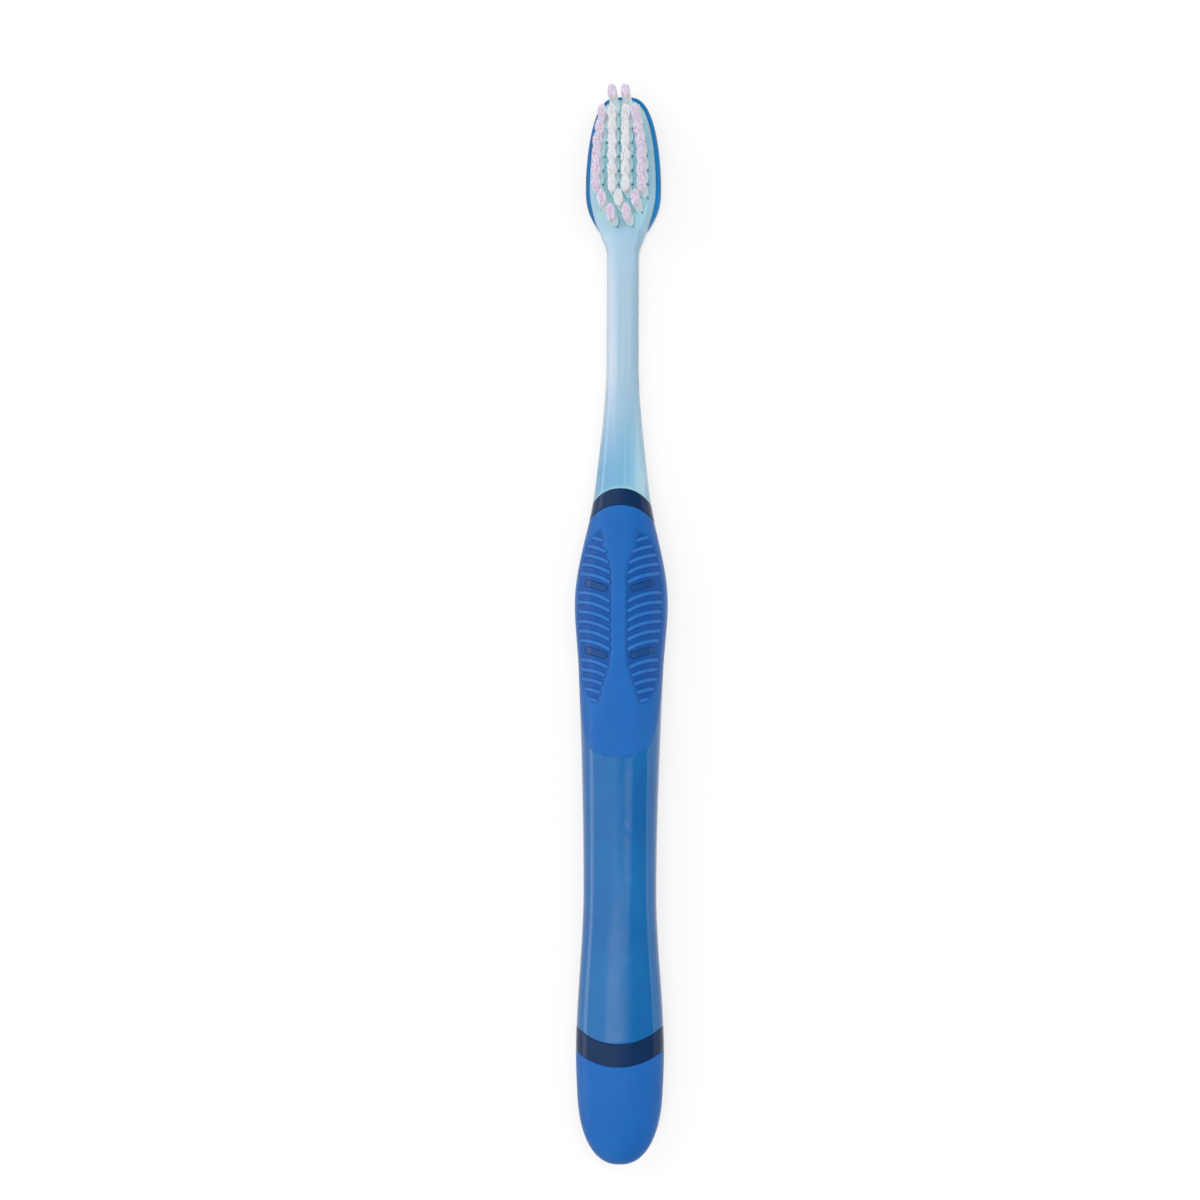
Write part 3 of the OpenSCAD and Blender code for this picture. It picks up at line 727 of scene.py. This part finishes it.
places = tuftPlaces()
head = headAndNeck()
hole = onCircle(plate["holeDiameter"] / 2, ringAngles(plate["holeSides"]))
slit = np.array([[-1, -1], [1, -1], [1, 1], [-1, 1]]) * np.array(plate["slit"]) / 2
cut(head, holeCutter("holes", hole, plate["holeDepth"]))
cut(head, holeCutter("slits", turned(slit, math.radians(plate["slitTurn"])),
                     plate["slitDepth"]))
# painted glow: a bright line marked along the neck's seam at the collar
headX, headY, _ = vertexPlaces(head)
seamAway = np.abs(neckSeam(headY) - toX(headX))
marked(head, "seam", np.clip(1 - seamAway / plate["seamLine"], 0, 1))
ride(head, paleClearPlastic, "pale_clear_plastic", "neck_and_head")


# Tongue cleaner: the soft rim and the ridged pad on the back
pad = dict(rows=70, ring=144, step=0.3, pastEnd=1.5, sinkShare=0.5,
           lap=0.004, lipDrop=0.25, ridgePitch=2.2, pathPoints=12,
           pathHeight=-5.0)
ridgeForm = {"Rib radius": 0.4 * mm, "Sink": 0.05 * mm, "Step": 0.2 * mm, "Sides": 14}


def tongueCleaner():
    angles, step = ringAngles(pad["ring"]), pad["step"]
    rest = np.arange(headWidest + step, rimEndAt + pad["pastEnd"], step)
    at = np.concatenate([toeStations(0.0, pad["rows"]), rest])[:, None]
    bare = 1 - plateFade(at)
    sink = rim * pad["sinkShare"] * bare + pad["lap"]
    grid = skin(at, angles, side=sink, back=sink,
                front=brush["rimDrop"] + pad["lipDrop"] * bare)
    return meshPiece("tongueCleaner", grid, tubeFaces(*grid.shape[:2], False, True), weld)


def ridgePaths():
    paths = []
    for i in range(2, int(rimFadeAt / pad["ridgePitch"])):
        at = i * pad["ridgePitch"]
        half = float(halfWidth(at, rim)) - rim - brush["headThickness"] / 6
        paths.append([[toX(at), y, pad["pathHeight"]]
                      for y in np.linspace(-half, half, pad["pathPoints"])])
    return paths


cleaner = tongueCleaner()
ridges = laidRibs("ridges", ridgePaths(), cleaner, 1, ridgeForm, azureSoftRubber)
ride(joined("tongueCleaner", cleaner, ridges), azureSoftRubber, "azure_soft_rubber",
     "tongue_cleaner")


# Handle core: collar, heel band and the moulding inside the handle
core = dict(ring=160, step=0.3, edge=0.14, bandWall=1.6, gripInset=1.2,
            shellInset=2.8, insetFrom=6, innerRows=120, innerRing=64,
            innerStart=1, innerPastEnd=8, clearance=0.02)


def coreInset(at):
    return smoothCurve([[gripEnd - core["insetFrom"], core["gripInset"]],
                        [waistAt, core["shellInset"]]], at)


def innerCore():
    angles = ringAngles(core["innerRing"])
    at = np.linspace(collarAt + core["innerStart"], heelGripAt + core["innerPastEnd"],
                     core["innerRows"])[:, None]
    grid = sunk(skin(at, angles), coreInset(at) + core["clearance"])
    return meshPiece("innerCore", grid, tubeFaces(*grid.shape[:2], True, True))


# Handle shell: side strips beside the grips, and the whole lower handle
shell = dict(ring=176, step=0.42, edge=0.14, sink=0.02, dip=1.6,
             lap=0.3, dipWidth=0.3)


def underGrips(at, points):  # drops the shell's surface where the soft grips lie over it
    y, z = points[..., 1], points[..., 2]
    front = np.minimum(z - frontSideHeight(at), lowerSeam(y) - at)
    back = np.minimum(backSideHeight(at) - z, backEndSeam(y) - at)
    inside = np.maximum(front, back) - shell["lap"]
    return shell["dip"] * ramp(0, shell["dipWidth"], inside)


ride(sleevePiece("handleShell", gripSeam, heelBandSeam, shell, coreInset, underGrips),
     azureClearPlastic, "azure_clear_plastic", "handle_shell")


# Thumb grip: the ribbed field on both sides of a smooth spine, with four window slots
thumb = dict(alongStep=0.2, acrossSteps=120, edge=0.22, wall=1.15, fieldDepth=0.4,
             fieldEdge=1.3, spineEdge=0.4, fieldMargin=0.55, spineWidth=2.5,
             softToe=(0.2, 0.28), softHeel=(0.6, 0.68), softSide=(0.3, 0.6),
             ribStart=5.5, ribPitch=1.7, ribRadius=11.3, ribCount=18, ribEnd=0.15,
             pastRibs=0.1, windowPoints=13, windowAbove=2,
             windowRibs=[6, 13], windowLength=4.4, windowWidth=1.35, windowOffset=4.1,
             padDepth=0.5, padGap=0.02, padRoot=3,
             padRings=[[1, 0.12], [0.97, 0.04], [0.9, 0], [0.6, 0], [0.3, 0], [0.02, 0]])
ribForm = {"Rib radius": 0.4 * mm, "Sink": 0.05 * mm, "Step": 0.22 * mm, "Sides": 12}
ribPath = dict(points=160, every=4, least=20, inner=0.6, outer=0.1, height=20)
fieldTop = [[0.16, 0.4], [0.12, 0.45], [0.1, 0.52], [0.1, 0.7], [0.12, 0.86], [0.155, 0.95]]
fieldSide = [[0.19 + 0.05 * i, 1] for i in range(11)]
fieldHeel = [[0.74, 0.93], [0.77, 0.84], [0.79, 0.7], [0.79, 0.52], [0.77, 0.45], [0.73, 0.4]]
fieldSpine = [[0.68, 0.28], [0.64, 0.21], [0.6, 0], [0.28, 0], [0.24, 0.21], [0.2, 0.28]]
ribSide = brush["gripWidth"] / 2 - thumb["fieldMargin"]


def fieldOutline():  # the field's outline seen from the front, as stations and offsets
    outline = []
    for alongShare, acrossShare in fieldTop + fieldSide + fieldHeel + fieldSpine:
        at = collarEnd + alongShare * gripLength
        edge = acrossShare * float(halfWidth(at, thumb["fieldMargin"]))
        outline.append([at, max(thumb["spineWidth"] / 2, edge)])
    return np.array(outline)


def insideDistance(points, outline):  # positive inside a closed outline
    following = np.roll(outline, -1, axis=0)
    side = following - outline
    away = points[..., None, :] - outline
    share = np.clip((away * side).sum(-1) / (side**2).sum(-1), 0, 1)
    distance = np.linalg.norm(away - share[..., None] * side, axis=-1).min(-1)
    y, low, high = points[..., 1:2], outline[:, 1], following[:, 1]
    crosses = (low > y) != (high > y)
    span = np.where(high == low, 1, high - low)
    left = points[..., 0:1] < outline[:, 0] + (y - low) / span * side[:, 0]
    return np.where((crosses & left).sum(-1) % 2 == 1, distance, -distance)


def patchPiece(name, heightOf, front, detail, relief=None, breadth=20.0):  # on front or back
    shares = gradedSteps(breadth, breadth / detail["acrossSteps"], detail["edge"])

    def angleOf(at):
        low = angleAt(at, heightOf(at))
        if front:
            return low + shares * (np.pi - 2 * low)
        return np.pi - low + shares * (np.pi + 2 * low)
    first, last = (stationOnSeam(seam, angleOf, gripAt)
                   for seam in (gripSeam, lowerSeam if front else backEndSeam))
    runs = gradedSteps(gripLength, detail["alongStep"], detail["edge"])[:, None]
    at = first + runs * (last - first)
    return wallPiece(name, at, angleOf(at), False, detail, detail["wall"], relief)


def ribbedField(at, points):  # a crisp border at the spine, and a soft one everywhere else
    across = np.abs(points[..., 1])
    inside = insideDistance(np.stack([at, across], -1), fieldOutline())
    share = (at - collarEnd) / gripLength
    ends = 1 - ramp(*thumb["softToe"], share) * (1 - ramp(*thumb["softHeel"], share))
    side = ramp(*thumb["softSide"], across / halfWidth(at, thumb["fieldMargin"]))
    edge = thumb["spineEdge"] + (thumb["fieldEdge"] - thumb["spineEdge"]) * np.maximum(ends, side)
    return thumb["fieldDepth"] * ramp(-edge / 3, edge * 2 / 3, inside)


def ribStation(i):
    return collarEnd + thumb["ribStart"] + (i - 1) * thumb["ribPitch"]


def raisedTo(outline, height):  # points over stations and offsets
    x = toX(outline[:, 0])
    return np.stack([x, outline[:, 1], x * 0 + height], -1)


def thumbRibPaths():
    outline, radius, paths = fieldOutline(), thumb["ribRadius"], []
    y = np.linspace(thumb["spineWidth"] / 2 - ribPath["inner"], ribSide + ribPath["outer"],
                    ribPath["points"])
    for i in range(1, thumb["ribCount"] + 1):
        at = ribStation(i) + radius - np.sqrt(radius**2 - (ribSide - y) ** 2)
        kept = np.where(insideDistance(np.stack([at, y], -1), outline) > thumb["ribEnd"])[0]
        if i in thumb["windowRibs"] or len(kept) < ribPath["least"]:
            continue
        some = slice(kept[0], kept[-1] + 1, ribPath["every"])
        paths += [raisedTo(np.stack([at[some], side * y[some]], -1), ribPath["height"])
                  for side in (1, -1)]
    return paths


def windowOutlines(shrink=0.0):  # four capsules, as stations and offsets
    offset, radius = thumb["windowOffset"], thumb["ribRadius"]
    sweep = ribSide - offset
    drop = radius - math.sqrt(radius**2 - sweep**2)
    half = (thumb["windowLength"] - thumb["windowWidth"]) / 2
    r = thumb["windowWidth"] / 2 - shrink
    cap = onCircle(r, np.linspace(-np.pi / 2, np.pi / 2, thumb["windowPoints"])) + [half, 0]
    spun = turned(np.concatenate([cap, -cap]), math.pi / 2 - math.asin(sweep / radius))
    return [np.stack([ribStation(i) + drop - spun[:, 0], side * (offset + spun[:, 1])], -1)
            for i in thumb["windowRibs"] for side in (1, -1)]


def windowPads():  # the core rises into each window, to just below the grip's surface
    stacks = []
    for outline in windowOutlines(thumb["padGap"]):
        centre = outline.mean(0)
        rings = [raisedTo(outline, neckHeight + thumb["padRoot"])]
        for share, drop in thumb["padRings"]:
            ring = centre + (outline - centre) * share
            rings.append(raisedTo(ring, skinHeight(*ring.T) - thumb["padDepth"] - drop))
        stacks.append(rings)
    pads = stackedRings("windowPads", stacks)
    marked(pads, "window", [1.0] * len(pads.data.vertices))
    return pads


thumbGrip = patchPiece("thumbGrip", frontSideHeight, True, thumb, ribbedField)
thumbRibs = laidRibs("thumbRibs", thumbRibPaths(), thumbGrip, -1, ribForm, royalSoftRubber)
windowTop = brush["gripThickness"] + thumb["windowAbove"]
cut(thumbGrip, stackedRings("windows", [
    [raisedTo(outline, z) for z in (neckHeight, windowTop)] for outline in windowOutlines()]))
# painted shade: the hollow mark darkens the field's floor and its sunk edges
gripX, gripY, gripZ = vertexPlaces(thumbGrip)
gripDeep = (skinHeight(toX(gripX), gripY) - gripZ) / thumb["fieldDepth"]  # 1 in the field's floor
gripFace = np.abs(gripY) < ribSide + thumb["pastRibs"]
marked(thumbGrip, "hollow", np.where(gripFace, np.clip(gripDeep, 0, 1), 0))
ride(joined("thumbGrip", thumbGrip, thumbRibs), royalSoftRubber, "royal_soft_rubber", "thumb_grip")

bands = [sleevePiece(name, start, end, core, core["bandWall"])
         for name, start, end in (("collar", neckSeam, gripSeam),
                                  ("heelBand", heelBandSeam, heelGripSeam))]
ride(joined("handleCore", innerCore(), *bands, windowPads()), navyPlastic, "navy_plastic",
     "handle_core")


# Back grip
backGrip = dict(alongStep=0.35, acrossSteps=60, edge=0.22, wall=1.15)
ride(patchPiece("backGrip", backSideHeight, False, backGrip), royalSoftRubber,
     "royal_soft_rubber", "back_grip")


# Heel grip
heel = dict(rows=90, ring=144, edge=0.22, bodyFrom=0.0128, crowding=0.9,
            cap=(0, 0.95, 12), tipRings=3)


def heelGrip():
    angles = ringAngles(heel["ring"])
    start = stationOnSeam(heelGripSeam, angles, heelGripAt)
    fine = heel["edge"] * (1 - np.cos(np.linspace(0, np.pi / 2, fineSteps)))
    turn = np.linspace(0, np.pi / 2, heel["rows"])
    coarse = heel["bodyFrom"] + (1 - heel["bodyFrom"]) * np.sin(turn) ** heel["crowding"]
    shares = np.concatenate([fine[:-1] / seams["heelGripLength"], coarse])[:, None]
    base = skin(start + shares * (brushLength - start), angles)
    drop = rounded(np.linalg.norm(base - base[:1], axis=-1), heel["edge"])
    body = sunk(base, drop)
    body[-heel["tipRings"]:] = base[-heel["tipRings"]:]
    cap = seamCap(body[0], heel["cap"], base[0, :, 2].mean(), heelGripSeam)
    grid = np.concatenate([cap, body])
    return meshPiece("heelGrip", grid, tubeFaces(*grid.shape[:2]), weld)


ride(heelGrip(), royalSoftRubber, "royal_soft_rubber", "heel_grip")


# Bristles: bundles of filaments that fan out of their holes
# rootFade and the glow give painted light, tipFade the tips' own tint
nylonLook = dict(rootFade=(0.0, 0.45), tipFade=(0.72, 0.97), glowFade=(0.1, 0.9), glow=0.17)


def nylonShare(tree):  # 0 at the head's face, 1 at the tips
    return mapped(tree, along(tree, "Z"), headFront * mm, (headFront + bristles["height"]) * mm)


def nylon(name, root, shaft, paleTip, deepTip):  # each filament has its own tint at the tip
    def tone(tree):
        share = nylonShare(tree)
        # bluish towards the roots: painted light from the blue plate, seen through the clear
        # filaments
        lower = blended(tree, mapped(tree, share, *nylonLook["rootFade"]), root, shaft)
        tip = blended(tree, attribute(tree, "tone"), paleTip, deepTip)
        return blended(tree, mapped(tree, share, *nylonLook["tipFade"]), lower, tip)
    return newMaterial(name, {
        "IOR": 1.4, "Roughness": 0.5, "Subsurface Weight": 0.5, "Subsurface Scale": 0.00005,
        "Subsurface Radius": (1.0, 1.0, 1.0), "Base Color": tone,
        "Emission Color": linear("dff4f8"),  # a painted glow that stands in for light carried inside the shafts
        "Emission Strength": lambda tree: mapped(
            tree, nylonShare(tree), *nylonLook["glowFade"], nylonLook["glow"], 0.0)})


def bristleTree():
    tree, given, out = newTree("bristleTufts", {
        "Filaments": "Int", "Bundle radius": "Float", "Filament width": "Float", "Fan": "Vector",
        "Unruly": "Float", "Curl": "Float", "Dome": "Float", "Ragged": "Float", "Seed": "Int",
        "Material": "Material"})
    node, sums, way = partial(grow, tree), partial(maths, tree), partial(vectorMaths, tree)
    golden = math.pi * (3 - math.sqrt(5))
    index, bundleRadius = node("InputIndex"), given["Bundle radius"]
    share = sums("DIVIDE", sums("ADD", index, 0.5), given["Filaments"])
    radius = times(tree, sums("SQRT", share), bundleRadius)
    turn = times(tree, index, golden)
    spot = combined(tree, times(tree, radius, sums("COSINE", turn)),
                    times(tree, radius, sums("SINE", turn)), 0.0)
    bundle = node("Points", {"Count": given["Filaments"], "Position": spot})
    bundles = node("InstanceOnPoints", {
        "Points": given["Geometry"], "Instance": bundle,
        "Rotation": combined(tree, 0.0, 0.0, named(tree, "turn"))})
    spots = node("RealizeInstances", {"Geometry": bundles})

    away = way("SUBTRACT", node("InputPosition"), named(tree, "centre", "FLOAT_VECTOR"))
    outward = way("DIVIDE", away, combined(tree, bundleRadius, bundleRadius, 1.0))

    def random(kind, low, high, offset):
        seed = sums("ADD", given["Seed"], float(offset))
        return add(tree, "FunctionNodeRandomValue", {"Min": low, "Max": high, "Seed": seed},
                   int(kind == "FLOAT"), data_type=kind)
    jitter = random("FLOAT_VECTOR", (-1, -1, 0), (1, 1, 0), 1)
    fanned = scaled(tree, way("MULTIPLY", outward, given["Fan"]), named(tree, "spread"))
    shaken = way("ADD", fanned, scaled(tree, jitter, given["Unruly"]))
    heading = way("ADD", shaken, combined(tree, named(tree, "lean"), 0.0, 1.0))
    curl = scaled(tree, random("FLOAT_VECTOR", (-1, -1, 0), (1, 1, 0), 2), given["Curl"])
    uneven = times(tree, random("FLOAT", -1.0, 1.0, 3), given["Ragged"])
    tone = random("FLOAT", 0.0, 1.0, 4)
    domed = times(tree, way("DOT_PRODUCT", outward, outward, out="Value"), given["Dome"])
    tall = sums("ADD", named(tree, "tall"), sums("SUBTRACT", uneven, domed))
    spots = stored(tree, spots, "curl", curl, "FLOAT_VECTOR")
    spots = stored(tree, spots, "tone", tone)

    rod = node("MeshCylinder", {
        "Vertices": 6, "Side Segments": 4, "Fill Segments": 1,
        "Radius": sums("DIVIDE", given["Filament width"], 2.0), "Depth": 1.0})
    raised = node("Transform", {"Geometry": rod, "Translation": (0, 0, 0.5)})
    height = add(tree, "ShaderNodeSeparateXYZ", {"Vector": node("InputPosition")}, "Z")
    rod = stored(tree, raised, "rise", height)
    upright = add(tree, "FunctionNodeAlignRotationToVector", {"Vector": heading}, axis="Z")
    filaments = node("InstanceOnPoints", {
        "Points": spots, "Instance": rod, "Rotation": upright,
        "Scale": combined(tree, 1.0, 1.0, tall)})
    real = node("RealizeInstances", {"Geometry": filaments})
    rise = named(tree, "rise")
    bend = scaled(tree, named(tree, "curl", "FLOAT_VECTOR"), times(tree, rise, rise))
    bent = node("SetPosition", {"Geometry": real, "Offset": bend})
    painted(tree, bent, given["Material"], out)
    return tree


def tuftPoints(name, chosen):
    at, y, lean, tall = np.array([place[:4] for place in chosen], float).T
    slope, root = np.tan(np.radians(lean)), bristles["root"]
    spots = np.stack([toX(at) - root * slope, y, 0 * y + (headFront - root)], -1)
    piece = linked(name, newMesh(name, spots))
    for label, values in (("lean", slope), ("tall", (tall + root) * mm),
                          ("turn", bristles["turn"] * np.arange(len(chosen))),
                          ("spread", np.where(lean > 0, bristles["toeSpread"], 1.0))):
        marked(piece, label, values)
    centres = piece.data.attributes.new("centre", "FLOAT_VECTOR", "POINT").data
    centres.foreach_set("vector", (spots * mm).ravel())
    return piece


bristleNodes = bristleTree()
tuftNodes = sorted(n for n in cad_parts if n.startswith("tuft_") and n != "tuft_anchors")
innerNodes = [n for n in tuftNodes if "inner" in n or "centre" in n]
outerNodes = [n for n in tuftNodes if n not in innerNodes]
white = nylon("whiteNylon", "e0f8fc", "f6fafc", "fafbfd", "eceff8")
lilac = nylon("lilacNylon", "e0f8fc", "f4f8fd", "f6f2fb", "e4cfec")
for name, outer, material, slot, nodes in (
        ("innerBristles", False, white, "white_nylon", innerNodes),
        ("outerBristles", True, lilac, "lilac_nylon", outerNodes)):
    points = tuftPoints(name + "Points", [place for place in places if place[4] == outer])
    tufts = grown(points, bristleNodes, {
        **bundle, "Seed": bundle["Seed"] + outer, "Material": material}, name)
    ride(tufts, material, slot, *nodes)

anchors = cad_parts["tuft_anchors"]
anchors.data.materials.clear()
anchors.data.materials.append(anchorMetal)


# Studio: a pale floor, a white surround and soft light
studio = dict(floor=6000.0, floorDrop=0.02, floorColour=0.3, floorGlow=0.7,
              glowFrom=0.3, glowTo=1.5, worldLight=0.36, darkSide=0.85,
              darkHeight=(0.05, 0.35), darkAcross=(0.05, 0.09))
lamps = {  # place, size, power, and whether it shows in the gloss
    "topLight": ((-0.087, -0.073, 0.994), (0.9, 0.15), 5.5, False),
    "keyLight": ((0.35, 0.5, 0.9), (0.9, 0.9), 2.2, False),
    "fillLight": ((-0.1, -0.6, 0.5), (0.4, 0.6), 0.5, False),
    "leftStrip": ((0.1, 0.6, 0.18), (0.9, 0.2), 1.0, True),
    "rightStrip": ((0.1, -0.6, 0.16), (0.9, 0.12), 0.3, True),
}


def seenDirectly(tree):  # if a ray is a camera or transmission one, and if a glossy one
    path = add(tree, "ShaderNodeLightPath", out=None)
    direct = maths(tree, "MAXIMUM", path["Is Camera Ray"], path["Is Transmission Ray"])
    return direct, path["Is Glossy Ray"]


def floorGlow(tree):
    reach = vectorMaths(tree, "LENGTH", objectCoords(tree), out="Value")
    far = mapped(tree, reach, studio["glowFrom"], studio["glowTo"], studio["floorGlow"], 1.0)
    return times(tree, maths(tree, "MAXIMUM", *seenDirectly(tree)), far)


def makeFloor():
    h, shade = studio["floor"] / 2, studio["floorColour"]
    corners = [(-h, -h, 0), (h, -h, 0), (h, h, 0), (-h, h, 0)]
    floor = linked("floor", newMesh("floor", corners, [], [(0, 1, 2, 3)]))
    floor.data.materials.append(newMaterial("floorPaper", {
        "Roughness": 0.9, "Specular IOR Level": 0.1, "Base Color": (shade, shade, shade, 1),
        "Emission Color": (1, 1, 1, 1), "Emission Strength": floorGlow}))
    floor.location.z = -studio["floorDrop"] * mm


def makeWorld():  # white all round, with one darker side overhead for the gloss to pick out
    world = bpy.data.worlds.new("surround")
    bpy.context.scene.world = world
    world.use_nodes = True
    tree = world.node_tree
    sums = partial(maths, tree)
    spot = add(tree, "ShaderNodeTexCoord", out="Generated")
    way = add(tree, "ShaderNodeSeparateXYZ", {"Vector": spot}, None)
    overhead = mapped(tree, way["Z"], *studio["darkHeight"], 0.0, studio["darkSide"])
    rightSide = mapped(tree, way["Y"], *studio["darkAcross"], 1.0, 0.0)
    mirrored = sums("SUBTRACT", 1.0, times(tree, overhead, rightSide))
    direct, glossy = seenDirectly(tree)
    lit = sums("ADD", direct, times(tree, glossy, mirrored))
    other = sums("SUBTRACT", 1.0, sums("MAXIMUM", direct, glossy))
    background = tree.nodes["Background"].inputs
    background["Color"].default_value = (1, 1, 1, 1)
    feed(tree, background["Strength"],
         sums("ADD", lit, times(tree, other, studio["worldLight"])))


def makeLamp(name, place, size, power, mirrored):  # a rectangle that faces the brush
    light = bpy.data.lights.new(name, "AREA")
    light.shape, light.energy = "RECTANGLE", power
    light.size, light.size_y = size
    lamp = linked(name, light)
    lamp.location = place
    lamp.rotation_mode = "QUATERNION"
    lamp.rotation_quaternion = (-Vector(place)).to_track_quat("-Z", "Y")
    lamp.visible_camera, lamp.visible_glossy = False, mirrored


makeFloor()
makeWorld()
for name, lamp in lamps.items():
    makeLamp(name, *lamp)

# Camera at the photograph's viewing angle: the brush lies toe up in the picture
view = dict(distance=650.0, pixelsPerMm=5.6, pivot=(5.2, 0.0, 6.0), tilt=5.0, yaw=4.2,
            roll=-0.25, shiftRight=21.4, shiftDown=-4.5, picture=1200.0, sensor=36.0)


def makeCamera():
    tilt, yaw, roll = (math.radians(view[k]) for k in ("tilt", "yaw", "roll"))
    upright = Matrix(((0, 1, 0), (-math.cos(yaw), 0, -math.sin(yaw)),
                      (-math.sin(yaw), 0, math.cos(yaw))))  # the brush's X, Y and Z as seen
    seen = upright @ Matrix.Rotation(tilt, 3, "X") @ Matrix.Rotation(-roll, 3, "Z")
    camera = linked("photoCamera", bpy.data.cameras.new("photoCamera"))
    camera.location = (Vector(view["pivot"]) + seen.col[2] * view["distance"]) * mm
    camera.rotation_mode = "QUATERNION"
    camera.rotation_quaternion = seen.to_quaternion()
    lens = camera.data
    lens.sensor_width = view["sensor"]
    lens.lens = view["pixelsPerMm"] * view["distance"] * view["sensor"] / view["picture"]
    lens.shift_x = -view["shiftRight"] / view["picture"]
    lens.shift_y = view["shiftDown"] / view["picture"]
    lens.clip_start, lens.clip_end = 0.01, 20
    bpy.context.scene.camera = camera


makeCamera()
bpy.context.scene.view_settings.view_transform = "Standard"
print("studio and camera set")
